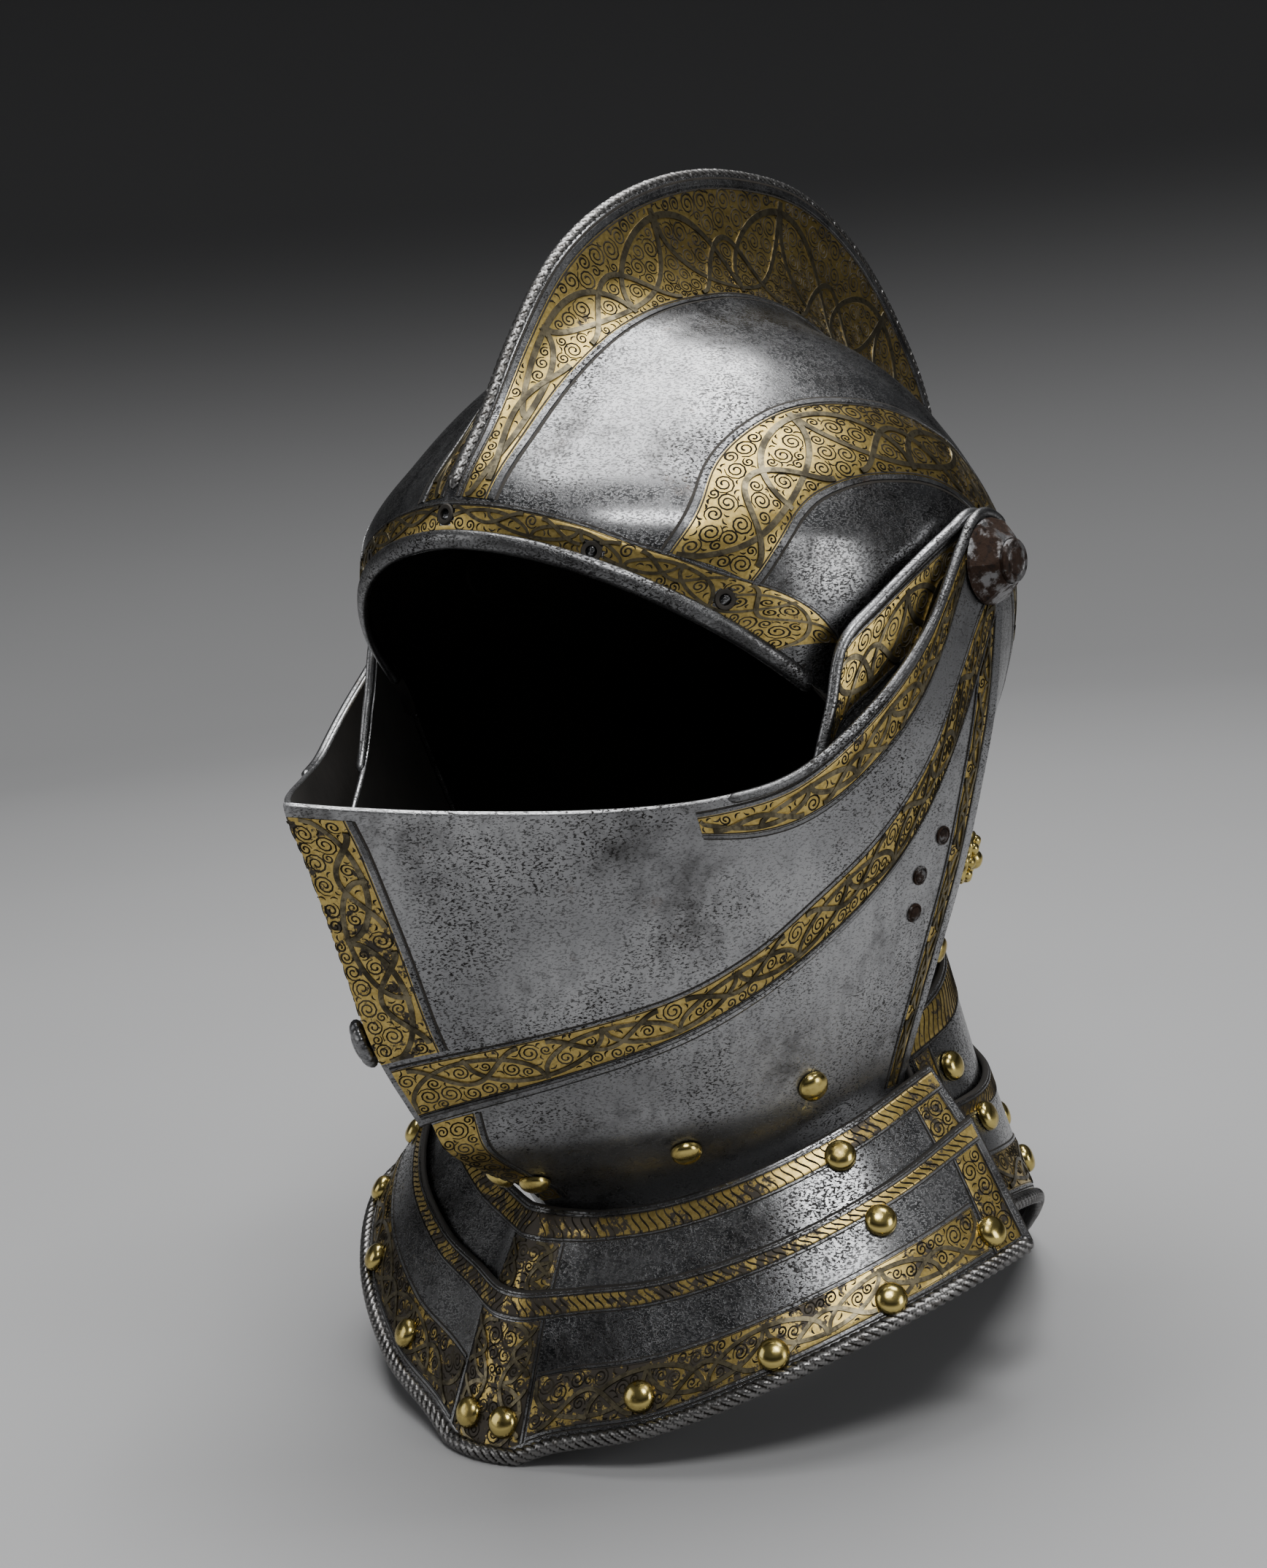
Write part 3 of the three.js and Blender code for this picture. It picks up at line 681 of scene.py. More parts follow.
CHEEK_PROFILE = [(2.6, -0.3), (2.5, 0.15), (2.1, 0.2), (1.9, -0.1), (1.7, 0.25), (1.2, 0.6), (0.01, 0.75)]
SIDES = {"left": 1, "right": -1}


def make_fitting(name, profile, place, material, body, slot, **shape):
    at, out = place
    piece = Piece().grid(turned(profile, at + SEAT_GAP * out, out, **shape), flip=True, wrap=True)
    return dress(piece.object(f"{name}_turned", [material]), body, slot, name)


def make_rivets():
    for side, sign in SIDES.items():
        for body, domes in DOMES.items():
            for name, surface, a, b in domes:
                make_fitting(f"{name}_{side}", dome_profile(DOME_RADIUS, DOME_HEIGHT),
                             seat(surface, a, b, sign), BRASS, body, "brass")
        for i, (share, z) in enumerate(CHEEK_RIVETS, 1):
            make_fitting(f"cheek_rivet_{i}_{side}", CHEEK_PROFILE, seat(on_bevor, share, z, sign), IRON,
                         "bevor", "iron", segments=20)


make_rivets()

# Pivot bolt: radius, height over the outer plate, share of flattening into facets
PIVOT_FACETS = 6
PIVOT_NUT = [
    (10.6, 0, 0), (11.4, 0.5, 0.1), (11.5, 1.3, 0.6), (11.2, 1.8, 1), (7.6, 5.5, 1), (6.6, 6.4, 0.7),
    (6, 6.7, 0.1), (5.7, 6.6, 0), (5.7, 7.7, 0), (5.3, 8.1, 0), (4, 8.15, 0), (3.7, 7.9, 0), (3.3, 8.2, 0),
    (0.01, 8.4, 0),
]
PIVOT_SEAT = 98.35
PIVOT_HEAD = [(7, 0), (7, -1.3), (6.3, -2), (0.01, -2)]
PIVOT_HEAD_SEAT = 85
KNOB_PROFILE = [
    (4.4, 0), (4.4, 0.5), (5.6, 0.7), (6.4, 1.4), (6.6, 2.2), (6.3, 3), (5.5, 3.8), (4.4, 4.3), (3.6, 4.2),
    (3, 4.6), (1.6, 4.9), (0.01, 5),
]
ROSETTE_PROFILE = [(7.8, 0), (7.8, 0.9), (7.2, 1.5), (6, 1.7), (4, 1.4), (0.01, 1.4)]
KNOB_SEAT = (0.95, -102.5)
KNOB_RIBS = 14
KNOB_RIB_DEPTH = 0.07
KNOB_RIB_FROM = 4.6
ROSETTE_SEAT = (21, -84)
ROSETTE_PETALS = 8
ROSETTE_PETAL_DEPTH = 0.14
# Bosses: radius and height, and how far each stands over the plate
PETAL_BOSS = (1.7, 2)
PETAL_BOSS_LIFT = 1.3
PETAL_BOSS_RING = 5.3
MIDDLE_BOSS = (3, 3.8)
MIDDLE_BOSS_LIFT = 1.2


def make_pivots():
    segments = 72
    radii, heights, shares = np.array(PIVOT_NUT).T
    for side, sign in SIDES.items():
        out = np.array([sign, 0, 0])
        piece = Piece()
        nut = turned(np.stack([radii, heights], 1), PIVOT_SEAT * out, out, segments,
                     faceted(segments, PIVOT_FACETS, shares))
        piece.grid(nut, flip=True, wrap=True)
        # The inner head takes the near-black painted shade of the inside.
        piece.grid(turned(PIVOT_HEAD, PIVOT_HEAD_SEAT * out, out), kind=1, wrap=True)
        dress(piece.object(f"pivot_{side}_bolt", [IRON, PAINTED_SHADE_INSIDE], sharp=22), "skull", "iron", f"pivot_{side}")


def make_knob():
    at, out = seat(on_ventail, *KNOB_SEAT, -1)
    segments = 64
    ribs = np.where(np.array(KNOB_PROFILE)[:, :1] > KNOB_RIB_FROM,
                    lobed(segments, KNOB_RIBS, KNOB_RIB_DEPTH), 1)
    piece = Piece().grid(turned(KNOB_PROFILE, at + SEAT_GAP * out, out, segments, ribs), flip=True, wrap=True)
    dress(piece.object("lifting_knob_turned", [STEEL]), "ventail", "iron", "lifting_knob")


def make_rosette():
    """A scalloped brass plate with a ring of small bosses round a larger one."""
    at, out = seat(on_skull, *ROSETTE_SEAT)
    at = at + SEAT_GAP * out
    segments = 72
    petals = lobed(segments, ROSETTE_PETALS, ROSETTE_PETAL_DEPTH)
    piece = Piece().grid(turned(ROSETTE_PROFILE, at, out, segments, petals), flip=True, wrap=True)
    side = unit(np.cross(out, [0, 0, 1]))
    up = np.cross(side, out)
    for angle in angles(ROSETTE_PETALS):
        spot = at + PETAL_BOSS_RING * (math.cos(angle) * side + math.sin(angle) * up) + PETAL_BOSS_LIFT * out
        piece.grid(turned(dome_profile(*PETAL_BOSS, 6), spot, out, 16), flip=True, wrap=True)
    middle = at + MIDDLE_BOSS_LIFT * out
    piece.grid(turned(dome_profile(*MIDDLE_BOSS, 7), middle, out, 24), flip=True, wrap=True)
    dress(piece.object("side_escutcheon_rosette", [BRASS]), "skull", "brass", "side_escutcheon")


make_pivots()
make_knob()
make_rosette()

# Brow holes: y and z of the one on the mid-plane and of the pairs beside it
BROW_MIDDLE_HOLE = (-96.6, 25.6)
BROW_SIDE_HOLES = ((-86.6, 14), (-67.2, -0.7))
BROW_HOLE_RADIUS = 1.6
BROW_DRILL_LENGTH = 7
BROW_MIDDLE_INSET = 0.995
HOLE_RING = [(1.5, -2.0), (1.5, 0.3), (1.7, 0.42), (2.5, 0.42), (2.8, 0)]


def brow_places():
    """Place and outward direction of each brow hole."""
    middle = np.array([0, *BROW_MIDDLE_HOLE])
    places = [(BROW_MIDDLE_INSET * middle, unit(middle))]
    for y, z in BROW_SIDE_HOLES:
        places += [seat(on_skull, y, z, sign) for sign in SIDES.values()]
    return places


BROW_PLACES = brow_places()
drill(skull_plate, BROW_PLACES, BROW_HOLE_RADIUS, BROW_DRILL_LENGTH)


# Roped and plain beads along the plates' edges
def tube(piece, path, normal, radius, squash=1.0, groove=None, sides=18):
    """A bead along a path; groove gives how far each point is pressed in, from place and angle."""
    forward = unit(np.gradient(path, axis=0))
    side = unit(np.cross(forward, normal))
    out = np.cross(side, forward)
    run = np.concatenate([[0], np.cumsum(np.linalg.norm(np.diff(path, axis=0), axis=1))])
    angle = np.linspace(0, 2 * math.pi, sides, endpoint=False)
    pressed = groove(run[:, None], angle[None, :]) if groove else np.zeros((len(path), sides))
    fade = np.clip(np.minimum(run, run[-1] - run) / radius, 0.05, 1)[:, None] ** 0.5
    size = radius * fade * (1 - 0.3 * pressed)
    rows = (path[:, None] + (size * np.cos(angle))[..., None] * out[:, None]
            + (squash * size * np.sin(angle))[..., None] * side[:, None])
    piece.grid(rows, flip=True, wrap=True)
    return pressed.ravel()


def rope_groove(strands, pitch):
    def pressed(run, angle):
        return (0.5 + 0.5 * np.cos(strands * angle - 2 * math.pi * strands * run / pitch)) ** 3
    return pressed


def even_path(path, step):
    """The same path with points a step apart."""
    run = np.concatenate([[0], np.cumsum(np.linalg.norm(np.diff(path, axis=0), axis=1))])
    at = np.linspace(0, run[-1], int(run[-1] / step) + 1)
    return np.stack([np.interp(at, run, path[:, k]) for k in range(3)], axis=-1)


ROPE_STEP = 0.7
BEAD_STEP = 1.2


def make_rope(name, paths, outward, radius, body, strands=4, pitch=11):
    piece = Piece()
    pressed = []
    for path in paths:
        path = even_path(path, ROPE_STEP)
        pressed.append(tube(piece, path, outward(path), radius, groove=rope_groove(strands, pitch)))
    obj = piece.object(name, [ROPE])
    # The groove depth also drives the painted shade in the rope finish.
    mark = obj.data.attributes.new("groove", "FLOAT", "POINT")
    mark.data.foreach_set("value", np.concatenate(pressed).astype(np.float32))
    return dress(obj, body, "steel")


def away_from_axis(path):
    return unit(points(path[:, 0], path[:, 1], 0 * path[:, 2]))


def above_pivot(path):
    return unit(points(0 * path[:, 0], path[:, 1], path[:, 2]))


ROPE_RADIUS = 1.9
RIM_ROPE_RADIUS = 2.2
whole = np.linspace(-1, 1, 241)
comb_way = np.linspace(0.035, 0.93, 300)
make_rope("comb_rope", [skull_rib(comb_way, 0)], above_pivot, ROPE_RADIUS, "skull", pitch=9.5)


def gorget_rim(gorget, reach=1.0):
    rim = gorget_point(gorget, np.abs(whole) * reach, 1.0)
    rim[:, 0] *= np.sign(whole) + (whole == 0)
    rim[:, 2] = np.maximum(rim[:, 2], FLOOR_Z + RIM_ROPE_RADIUS)
    return rim


make_rope("front_gorget_rope", [gorget_rim(FRONT_GORGET)], away_from_axis, RIM_ROPE_RADIUS, "bevor")
make_rope("rear_gorget_rope", [gorget_rim(REAR_GORGET)], away_from_axis, RIM_ROPE_RADIUS, "skull")


def make_bead(name, paths, outward, radius, body, squash=1.0, material=LIP_STEEL):
    piece = Piece()
    for path in paths:
        path = even_path(path, BEAD_STEP)
        tube(piece, path, outward(path), radius, squash, sides=14)
    return dress(piece.object(name, [material]), body, "steel")


brow = skull_rib(0.003, 1.95 * np.abs(whole))
brow[:, 0] *= np.sign(whole)
make_bead("brow_lip", [brow], away_from_axis, 1.7, "skull", squash=1.5)

arm_way = np.linspace(0.4, 0.95, 120)
face_edge = on_bevor(BEVOR_TOP.share(arm_way), BEVOR_TOP.z(arm_way))
make_bead("bevor_face_edges", [face_edge, mirror(face_edge)], away_from_axis, 1.5, "bevor", material=STEEL)
rim_way = np.linspace(0.47, 0.985, 120)
ventail_rim = on_ventail(VENTAIL_TOP.share(rim_way), VENTAIL_TOP.z(rim_way))
make_bead("ventail_arm_rims", [ventail_rim, mirror(ventail_rim)], away_from_axis, 1.35, "ventail")


# Bands of ornament
class Band:
    """A strip of a plate's surface, measured in millimetres along and across from its middle line."""

    def __init__(self, surface, low, high, step=0.8):
        rough = np.linspace(0, 1, 200)
        ends = [surface(*border(rough)) for border in (low, high)]
        middle = (ends[0] + ends[1]) / 2
        run = np.concatenate([[0], np.cumsum(np.linalg.norm(np.diff(middle, axis=0), axis=1))])
        self.length = run[-1]
        self.along = np.linspace(0, self.length, max(int(self.length / step), 8))
        w = np.interp(self.along, run, rough)
        wide = np.linalg.norm(ends[0] - ends[1], axis=-1)
        self.half = np.interp(w, rough, wide) / 2
        across = np.linspace(0, 1, max(int(self.half.max() * 2 / step), 8))
        (low_a, low_b), (high_a, high_b) = low(w), high(w)
        a = lerp(np.asarray(low_a, float)[:, None], np.asarray(high_a, float)[:, None], across)
        b = lerp(np.asarray(low_b, float)[:, None], np.asarray(high_b, float)[:, None], across)
        self.grid = surface(a, b)
        self.out = normals_of(surface, a, b)

    def half_at(self, s):
        return np.interp(s, self.along, self.half)

    def spot(self, s, t, lift):
        """Points at places along and across, a lift above the plate."""
        n, m = self.grid.shape[:2]
        i = np.clip(s / self.length, 0, 1) * (n - 1)
        j = np.clip(0.5 + 0.5 * t / self.half_at(s), 0, 1) * (m - 1)
        i0, j0 = (np.minimum(k.astype(int), size - 2) for k, size in ((i, n), (j, m)))
        u, v = (i - i0)[..., None], (j - j0)[..., None]

        def blend(rows):
            near = lerp(rows[i0, j0], rows[i0, j0 + 1], v)
            return lerp(near, lerp(rows[i0 + 1, j0], rows[i0 + 1, j0 + 1], v), u)

        return blend(self.grid) + np.asarray(lift)[..., None] * unit(blend(self.out))


GROUND_LIFT = 0.16
LINE_LIFT = 0.38
STRAP_LIFT = 0.46
SCROLL_RADII = (2.5, 2.0, 1.6, 1.25, 0.95, 0.7)
# Sections of raised lines: place across the half width, share of the height
FLAT = ((1, 0), (0.86, 1), (-0.86, 1), (-1, 0))
RIDGE = ((1, 0.2), (0, 1), (-1, 0.2))
# Straps in one cell: side they spring from, roundness, start and span in cells, reach across, added lift
STRAPS = (
    (1, 0.5, 0.0, 1.0, 0.85, 0.0), (-1, 0.5, 0.5, 1.0, 0.85, 0.07), (-1, 2.2, 0.1, 0.8, 0.3, 0.14),
)


class Relief:
    """Gilt ground, black lines, steel straps and borders gathered for one plate, on both sides of it."""

    KINDS = ("gilt", "line", "strap", "dark", "fillet")

    def __init__(self, seed, sides=(1, -1)):
        self.piece = Piece()
        self.random = np.random.default_rng(seed)
        self.sides = sides

    def strips(self, band, paths, width, top, kind, section=FLAT):
        """Raised strips along paths of (along, across), a stack of paths with the same number of points."""
        paths = np.asarray(paths, float)
        forward = unit(np.gradient(paths, axis=1))
        side = np.stack([-forward[..., 1], forward[..., 0]], axis=-1)
        half = np.broadcast_to(np.asarray(width, float), paths.shape[:2])[..., None] / 2
        lift = np.broadcast_to(np.asarray(top, float), paths.shape[:2])
        rows = []
        for edge, rise in section:
            at = paths + edge * half * side
            rows.append(band.spot(at[..., 0], at[..., 1], rise * lift))
        rows = np.stack(rows, axis=1)
        for sign in self.sides:
            self.piece.grids(rows * np.array([sign, 1, 1]), self.KINDS.index(kind), flip=sign < 0)

    def ground(self, band, margins):
        """The gilt ground, a margin inside each edge of the band."""
        s = np.linspace(0, band.length, max(int(band.length / 1.0), 4))
        half = band.half_at(s)
        t = lerp(margins[0] - half, half - margins[1], np.linspace(0, 1, 12)[:, None])
        lift = np.full(t.shape, GROUND_LIFT)
        lift[[0, -1]] = 0
        rows = band.spot(np.broadcast_to(s, t.shape), t, lift)
        for sign in self.sides:
            self.piece.grids((rows * np.array([sign, 1, 1]))[None], 0, flip=sign < 0)

    def border(self, band, scale=1.0, edges=(-1, 1)):
        """Dark line, steel fillet and a thin dark line inside it, along both edges."""
        s = np.linspace(0, band.length, max(int(band.length / 1.0), 4))
        half = band.half_at(s)
        for edge in edges:
            for inset, width, lift, kind in ((0.35, 0.7, 0.05, "dark"), (1.5, 1.5, 0.3, "fillet"),
                                             (2.95, 0.4, 0.2, "dark")):
                path = np.stack([s, edge * (half - inset * scale)], axis=-1)
                self.strips(band, path[None], width * scale, lift, kind)

    def strapwork(self, band, margin, wave, width):
        """Round arches crossing along the band, with narrower ones; returns circles that cover them."""
        count = max(round(band.length / wave), 2)
        cell = band.length / count
        u = np.linspace(0, 1, max(int(cell / 0.9), 16))
        rise = 1 - (2 * u - 1) ** 2
        covered = []
        for side, power, start, span, reach_share, lift in STRAPS:
            first = cell * (np.arange(count) + start)
            first = first[first + cell * span <= band.length + 0.01]
            s = np.clip(first[:, None] + u * cell * span, 0.3, band.length - 0.3)
            reach = np.maximum(band.half_at(s) - margin - width / 2, 0.4)
            t = side * reach * ((1 + reach_share) * rise ** power - 1)
            paths = np.stack([s, t], axis=-1)
            self.strips(band, paths, width, STRAP_LIFT + lift, "strap")
            covered.append(paths.reshape(-1, 2))
        covered = np.concatenate(covered)
        return np.column_stack([covered, np.full(len(covered), width / 2)])

    def circles(self, band, sizes, margins, avoid, clear):
        """Places and radii of circles that fill the band, clear of each other and of the straps."""
        placed = np.zeros((0, 3))
        for size in sizes:
            tries = int(band.length * band.half.mean() * 2 / size ** 2 * 9) + 40
            s = self.random.uniform(size, max(band.length - size, size + 0.01), tries)
            half = band.half_at(s)
            low, high = margins[0] + size - half, half - margins[1] - size
            t = lerp(low, high, self.random.random(tries))
            spots = np.stack([s, t, np.full(tries, size)], axis=-1)[high > low]
            for batch in np.array_split(spots, max(len(spots) // 1000, 1)):
                batch = batch[self.apart(batch, avoid, clear) & self.apart(batch, placed, 0.1)]
                gap = np.hypot(batch[:, None, 0] - batch[:, 0], batch[:, None, 1] - batch[:, 1])
                clash = gap < 2 * size + 0.1
                keep = np.full(len(batch), True)
                for i in range(len(batch)):
                    if keep[i]:
                        keep[i + 1:] &= ~clash[i, i + 1:]
                placed = np.vstack([placed, batch[keep]])
        return placed

    @staticmethod
    def apart(spots, others, clear):
        """Which circles stay clear of all the others."""
        if not len(others):
            return np.full(len(spots), True)
        gap = np.hypot(spots[:, None, 0] - others[:, 0], spots[:, None, 1] - others[:, 1])
        return (gap - spots[:, None, 2] - others[:, 2]).min(axis=1) > clear

    def scrolls(self, band, circles):
        """A spiral tendril in each larger circle and a leaf in each smaller one."""
        large = circles[circles[:, 2] > 1.2]
        small = circles[circles[:, 2] <= 1.2]
        if len(large):
            u = np.linspace(-0.25, 1, 22)
            turn = np.where(self.random.random(len(large)) < 0.5, -1, 1)[:, None]
            first = self.random.uniform(0, 2 * math.pi, len(large))[:, None]
            turns = 0.6 + 0.42 * large[:, 2:3]
            angle = first + turn * 2 * math.pi * turns * u
            radius = large[:, 2:3] * np.where(u < 0, 1 - 0.5 * u, 1 - 0.8 * u)
            s = large[:, :1] + radius * np.cos(angle)
            t = large[:, 1:2] + radius * np.sin(angle)
            paths = np.stack([s, t], axis=-1)
            width = np.interp(u, (-0.25, 0, 0.8, 0.92, 1), (0.35, 0.7, 0.6, 0.95, 0.55))
            self.strips(band, paths, width, LINE_LIFT, "line", RIDGE)
        if len(small):
            u = np.linspace(-1, 1, 6)
            lean = self.random.uniform(0, 2 * math.pi, len(small))[:, None]
            size = small[:, 2:3]
            x, y = size * u, size * 0.5 * (1 - u * u)
            paths = np.stack([small[:, :1] + x * np.cos(lean) - y * np.sin(lean),
                              small[:, 1:2] + x * np.sin(lean) + y * np.cos(lean)], -1)
            self.strips(band, paths, np.interp(u, (-1, 0.3, 1), (0.2, 0.8, 0.3)), LINE_LIFT, "line", RIDGE)

    def cable(self, band, margin, step=2.4):
        """A cable pattern: slanted strokes side by side."""
        s = np.arange(step, band.length - step, step)
        u = np.linspace(-1, 1, 9)
        reach = (band.half_at(s) - margin)[:, None]
        paths = np.stack([s[:, None] + 0.75 * step * np.sin(u * math.pi / 2), reach * u], axis=-1)
        self.strips(band, paths, np.interp(u, (-1, 0, 1), (0.4, 0.75, 0.4)), LINE_LIFT, "line", RIDGE)

    def filled(self, band, scale=1.0, straps=0.0, width=2.2, edges=(-1, 1)):
        """A whole band: ground, borders, straps if asked and scrolls."""
        framed = np.array([edge in edges for edge in (-1, 1)])
        self.ground(band, 2.55 * scale * framed)
        self.border(band, scale, edges)
        inner = 3.1 * scale * framed
        straps_at = self.strapwork(band, inner.max(), straps, width) if straps else np.zeros((0, 3))
        biggest = band.half.mean() - inner.mean()
        sizes = [r for r in SCROLL_RADII if r <= max(biggest, SCROLL_RADII[-2])]
        self.scrolls(band, self.circles(band, sizes, inner, straps_at, 0.1))

    def roped(self, band, scale=0.35):
        self.ground(band, np.full(2, 2.55 * scale))
        self.border(band, scale)
        self.cable(band, 3.1 * scale)

    def object(self, name, body, materials):
        obj = self.piece.object(name, [materials[kind] for kind in self.KINDS], sharp=35)
        return dress(obj, body, "steel")


def gilt_finish(name, wear, front=0.0):
    """Fire gilding over steel; wear is how far it has gone, front how much further at the front."""
    n = Nodes(name)
    cloud = n.noise(45, 4)
    fine = n.noise(330, 6, 0.68)
    grain = n.noise(900, 3)
    gold = n.mix(n.span(grain, 0.3, 0.7), (0.60, 0.45, 0.155), (0.40, 0.29, 0.09))
    gold = n.mix(n.span(cloud, 0.5, 0.75), gold, (0.29, 0.205, 0.065))
    bare = n.math("ADD", n.math("MULTIPLY", cloud, 0.4), n.math("MULTIPLY", fine, 0.6))
    if front:
        bare = n.math("ADD", bare, n.span(n.axis("Y"), -0.10, -0.03, 0.25 * front, 0.0))
    gone = n.span(bare, 0.66 - 0.25 * wear, 0.70 - 0.25 * wear)
    color = n.mix(gone, gold, (0.075, 0.066, 0.056))
    rough = n.span(gone, 0, 1, 0.36, 0.55)
    return n.done(color, rough, n.bump(n.noise(1500, 3), 0.3, 0.0001))


def line_finish():
    """Blackened lines of the etching."""
    n = Nodes("etched_line")
    n.shader.inputs["Specular IOR Level"].default_value = 0
    rub = n.span(n.noise(160, 4), 0.4, 0.7)
    return n.done(n.mix(rub, (0.018, 0.016, 0.013), (0.06, 0.052, 0.038)), 0.8,
                  n.bump(n.noise(900, 3), 0.3, 0.0001), 0.0)


def dark_finish():
    n = Nodes("etched_dark")
    return n.done(n.mix(n.noise(300, 3), (0.02, 0.018, 0.016), (0.055, 0.048, 0.04)), 0.7, None, 0.6)


def strap_finish():
    """Straps left in steel, browned and faintly gilt."""
    n = Nodes("strap_steel")
    rub = n.span(n.noise(140, 5, 0.65), 0.36, 0.66)
    fleck = n.span(n.noise(700, 3), 0.5, 0.66)
    color = n.mix(rub, (0.055, 0.048, 0.033), (0.22, 0.19, 0.12))
    color = n.mix(n.math("MULTIPLY", fleck, 0.6), color, (0.035, 0.03, 0.024))
    return n.done(color, n.span(rub, 0, 1, 0.5, 0.34), n.bump(n.noise(900, 3), 0.3, 0.0001))


ETCHED = {"line": line_finish(), "strap": strap_finish(), "dark": dark_finish(),
          "fillet": steel_finish("fillet_steel", 0.62, 0.8)}
GILDED = {"gilt": gilt_finish("gilding", 0.3), **ETCHED}
RUBBED = {"gilt": gilt_finish("rubbed_gilding", 0.62), **ETCHED}
WORN = {"gilt": gilt_finish("worn_gilding", 0.5, 0.4), **ETCHED}


def strip(a_start, a_end, b_low, b_high):
    """Borders of a band that runs along the first parameter; the others are numbers or curves over it."""
    def border(b):
        def read(w):
            a = lerp(a_start, a_end, w)
            return a, b(a) if callable(b) else np.full_like(a, b)
        return read
    return border(b_low), border(b_high)


def crosswise(borders):
    """The same borders for a surface whose parameters come the other way round."""
    return tuple((lambda w, border=border: border(w)[::-1]) for border in borders)


def plate_surface(plate, top, bottom):
    """A face plate by way back from the keel and share of the way down."""
    def surface(way, down):
        share = lerp(top.share(way), bottom.share(way), down)
        return face_point(plate, share, lerp(top.z(way), bottom.z(way), down))
    return surface


# Band borders, read from the plates' own parameters
COMB_BAND_TOP = 0.25
COMB_BAND = table("way down", [
    (0.03, 0.75), (0.15, 0.76), (0.3, 0.815), (0.5, 0.83), (0.7, 0.82), (0.93, 0.75)])
BROW_BAND = table("down way", [
    (0, 0.027), (0.8, 0.028), (1.16, 0.03), (1.37, 0.038), (1.58, 0.072), (1.8, 0.19)])
SIDE_BAND = table("w way_high high way_low low", [
    (0, 0.033, 1.362, 0.069, 1.6), (0.12, 0.12, 1.284, 0.16, 1.505), (0.25, 0.226, 1.271, 0.25, 1.48),
    (0.4, 0.365, 1.304, 0.38, 1.475), (0.5, 0.45, 1.33, 0.467, 1.478), (0.75, 0.7, 1.32, 0.71, 1.47),
    (1, 0.97, 1.2, 0.97, 1.4)])
VENTAIL_LOW_BAND = table("way down", [
    (0, 0.8), (0.34, 0.79), (0.46, 0.75), (0.56, 0.68), (0.68, 0.67), (0.79, 0.645), (0.88, 0.62),
    (0.97, 0.6)])
VENTAIL_ARM_BAND = table("way down", [
    (0.43, 0.16), (0.5, 0.225), (0.59, 0.277), (0.68, 0.3), (0.77, 0.3), (0.85, 0.26), (0.93, 0.15)])
ventail_plate = plate_surface(VENTAIL, VENTAIL_TOP, VENTAIL_BOTTOM)
bevor_plate = plate_surface(BEVOR, BEVOR_TOP, BEVOR_BOTTOM)


BEVOR_REAR_TOP = -10
BEVOR_REAR_BOTTOM = -138
BEVOR_REAR_EDGE_TOP = 1
BEVOR_REAR_EDGE_HEIGHT = 142.5


def bevor_rear(inset):
    """A line along the bevor's rear edge, a share of the keel distance inside it."""
    def read(w):
        z = lerp(BEVOR_REAR_TOP, BEVOR_REAR_BOTTOM, w)
        down = (BEVOR_REAR_EDGE_TOP - z) / BEVOR_REAR_EDGE_HEIGHT
        edge = lerp(BEVOR_TOP.share(1), BEVOR_BOTTOM.share(1), down)
        return edge + inset, z
    return read


def make_skull_bands():
    comb = Relief(SEED)
    comb_band = Band(skull_rib, *strip(0.03, 0.93, COMB_BAND_TOP, COMB_BAND.down))
    comb.filled(comb_band, straps=56, width=1.8)
    comb.object("comb_bands", "skull", GILDED)
    side = Relief(SEED + 5)
    side_band = Band(skull_rib, lambda w: (SIDE_BAND.way_high(w), SIDE_BAND.high(w)),
                     lambda w: (SIDE_BAND.way_low(w), SIDE_BAND.low(w)))
    side.filled(side_band, straps=50, width=1.8)
    side.object("side_bands", "skull", GILDED)
    brow = Relief(SEED + 6)
    brow_band = Band(skull_rib, *crosswise(strip(0, 1.78, 0.006, BROW_BAND.way)))
    brow.filled(brow_band, scale=0.4, straps=24, width=1)
    brow.piece.clear_of([at for at, _ in BROW_PLACES], HOLE_RING[-1][0] - 0.3)
    # Painted shade: each ring's sleeve lines the hole's wall in the etched dark finish; its flat rim round
    # the hole is an etched dark ring.
    for at, out in BROW_PLACES:
        brow.piece.grid(turned(HOLE_RING, at, out, 24), Relief.KINDS.index("dark"), flip=True, wrap=True)
    brow.object("brow_bands", "skull", GILDED)


def make_ventail_bands():
    relief = Relief(SEED + 1)
    low_band = Band(ventail_plate, *strip(0.01, 0.97, 0.985, VENTAIL_LOW_BAND.down))
    relief.filled(low_band, scale=0.55, straps=34, width=1.3)
    arm_band = Band(ventail_plate, *strip(0.43, 0.93, 0.03, VENTAIL_ARM_BAND.down))
    relief.filled(arm_band, scale=0.6, straps=30, width=1.4)
    relief.object("ventail_bands", "ventail", GILDED)
    keel = Relief(SEED + 7)
    keel_band = Band(ventail_plate, *crosswise(strip(0.03, 0.785, 0.0, 0.1)))
    keel.filled(keel_band, scale=0.8, straps=28, width=1.5, edges=(1,))
    keel.object("ventail_keel_band", "ventail", RUBBED)


def make_bevor_bands():
    relief = Relief(SEED + 2)
    relief.filled(Band(bevor_plate, *crosswise(strip(0.47, 0.86, 0.0, 0.075))), scale=0.7, edges=(1,))
    relief.filled(Band(bevor_plate, *strip(0.43, 0.92, 0.015, 0.15)), scale=0.5, straps=34, width=1.4)
    relief.filled(Band(on_bevor, bevor_rear(0.02), bevor_rear(0.072)), scale=0.4, straps=22, width=0.9)
    relief.object("bevor_bands", "bevor", GILDED)


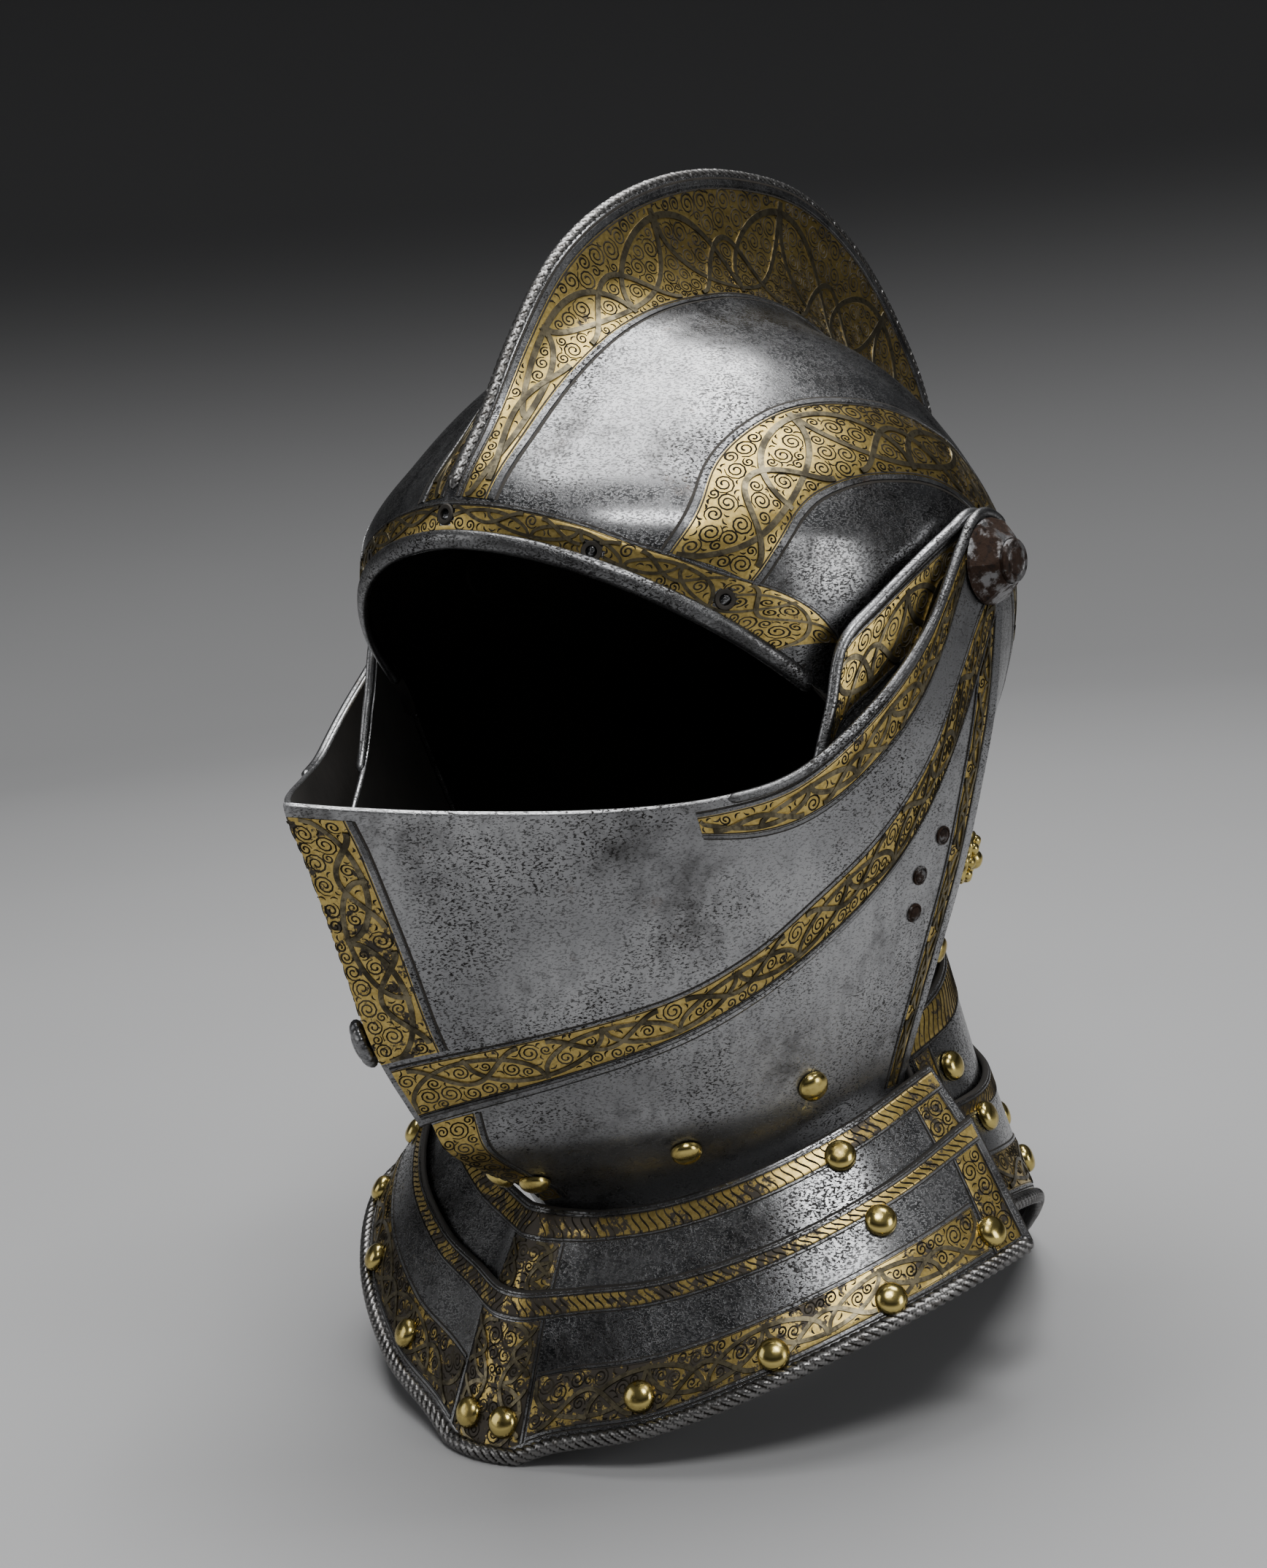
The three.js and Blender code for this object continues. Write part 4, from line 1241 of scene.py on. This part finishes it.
def make_lame_bands(name, upper, lower, body, seed):
    relief = Relief(seed)
    relief.roped(Band(upper, *strip(0.0, 0.995, 0.01, 0.15)))
    middle = Band(upper, *crosswise(strip(0.155, 0.5, 0.0, 0.12)))
    relief.filled(middle, scale=0.5, straps=18, width=1.2, edges=(1,))
    relief.filled(Band(upper, *crosswise(strip(0.155, 0.5, 0.92, 0.99))), scale=0.4)
    relief.roped(Band(lower, *strip(0.0, 0.995, 0.405, 0.5)))
    relief.filled(Band(lower, *strip(0.125, 0.925, 0.7, 0.955)), scale=0.5, straps=38, width=1.3)
    middle = Band(lower, *crosswise(strip(0.505, 0.955, 0.0, 0.12)))
    relief.filled(middle, scale=0.5, straps=20, width=1.2, edges=(1,))
    relief.filled(Band(lower, *crosswise(strip(0.505, 0.955, 0.93, 0.992))), scale=0.4)
    relief.object(name, body, WORN)


make_skull_bands()
make_ventail_bands()
make_bevor_bands()
make_lame_bands("front_gorget_bands", on_front_upper, on_front_lower, "bevor", SEED + 3)
make_lame_bands("rear_gorget_bands", on_rear_upper, on_rear_lower, "skull", SEED + 4)

# Camera at the photograph's place: turn about the pivot, height angle, roll, distance, shift
VIEW_AZIMUTH = math.radians(41.38)
VIEW_ELEVATION = math.radians(9.65)
VIEW_ROLL = math.radians(-5.43)
VIEW_DISTANCE = 677.6
VIEW_SHIFT = (17.0, 61.1)
LENS = 54.8
SENSOR = 36


def make_camera():
    flat = math.cos(VIEW_ELEVATION)
    back = np.array([math.sin(VIEW_AZIMUTH) * flat, -math.cos(VIEW_AZIMUTH) * flat, math.sin(VIEW_ELEVATION)])
    level = np.array([math.cos(VIEW_AZIMUTH), math.sin(VIEW_AZIMUTH), 0])
    upright = np.cross(back, level)
    right = math.cos(VIEW_ROLL) * level + math.sin(VIEW_ROLL) * upright
    up = math.cos(VIEW_ROLL) * upright - math.sin(VIEW_ROLL) * level
    at = (VIEW_DISTANCE * back - VIEW_SHIFT[0] * right - VIEW_SHIFT[1] * up + PIVOT) * MM
    data = bpy.data.cameras.new("camera")
    data.sensor_fit = "VERTICAL"
    data.sensor_height = SENSOR
    data.lens = LENS
    camera = bpy.data.objects.new("camera", data)
    camera.matrix_world = Matrix([[*axis, place] for axis, place in zip(np.stack([right, up, back], 1), at)]
                                 + [[0, 0, 0, 1]])
    bpy.context.collection.objects.link(camera)
    bpy.context.scene.camera = camera


make_camera()


# Lights: place and size in metres, watts
LIGHTS = {
    "top": ((-0.22, 0.25, 1.55), (0.95, 0.95), 26), "collar": ((0.57, 0.25, 1.5), (0.4, 0.4), 6),
    "front": ((0.68, -0.70, 1.40), (0.6, 0.4), 13), "side": ((1.45, 0.1, 0.45), (0.5, 0.7), 6),
    "fill": ((-1.1, -1.2, 0.7), (1.0, 1.0), 4.5),
}
LIGHT_AIM = (0, 0, 0.2)


def make_light(name, at, size, watts):
    data = bpy.data.lights.new(name, "AREA")
    data.shape = "RECTANGLE"
    data.size, data.size_y = size
    data.energy = watts
    light = bpy.data.objects.new(name, data)
    back = unit(np.array(at, float) - np.array(LIGHT_AIM, float))
    side = unit(np.cross([0, 0, 1], back))
    axes = np.stack([side, np.cross(back, side), back], axis=1)
    light.matrix_world = Matrix([[*row, p] for row, p in zip(axes, at)] + [[0, 0, 0, 1]])
    bpy.context.collection.objects.link(light)


for light_name, light_setting in LIGHTS.items():
    make_light(light_name, *light_setting)

STAGE_FLAT = 1300
STAGE_CURVE = 1100


def make_floor():
    """A pale floor that sweeps up into a backdrop all round."""
    n = Nodes("pale_floor")
    pale = n.mix(n.noise(3, 2), (0.33, 0.33, 0.333), (0.36, 0.36, 0.364))
    n.done(n.mix(n.span(n.axis("Z"), 0.0, 0.5), pale, (0.035, 0.035, 0.036)), 0.85, None, 0.0)
    around = np.linspace(0, 2 * math.pi, 96, endpoint=False)[None, :]
    sweep = np.radians(np.linspace(0, 90, 16))
    radius = np.concatenate([[0.01, 300, 800], STAGE_FLAT + STAGE_CURVE * np.sin(sweep)])[:, None]
    height = np.concatenate([[0, 0, 0], STAGE_CURVE * (1 - np.cos(sweep))])[:, None]
    rows = points(radius * np.cos(around), radius * np.sin(around) - PIVOT[1], FLOOR_Z + height)
    Piece().grid(rows, wrap=True).object("floor", [n.material], sharp=180)


make_floor()


def make_world():
    world = bpy.data.worlds.new("studio")
    bpy.context.scene.world = world
    world.use_nodes = True
    sky = world.node_tree.nodes["Background"]
    sky.inputs["Color"].default_value = (0.60, 0.62, 0.65, 1)
    sky.inputs["Strength"].default_value = 0.12


make_world()
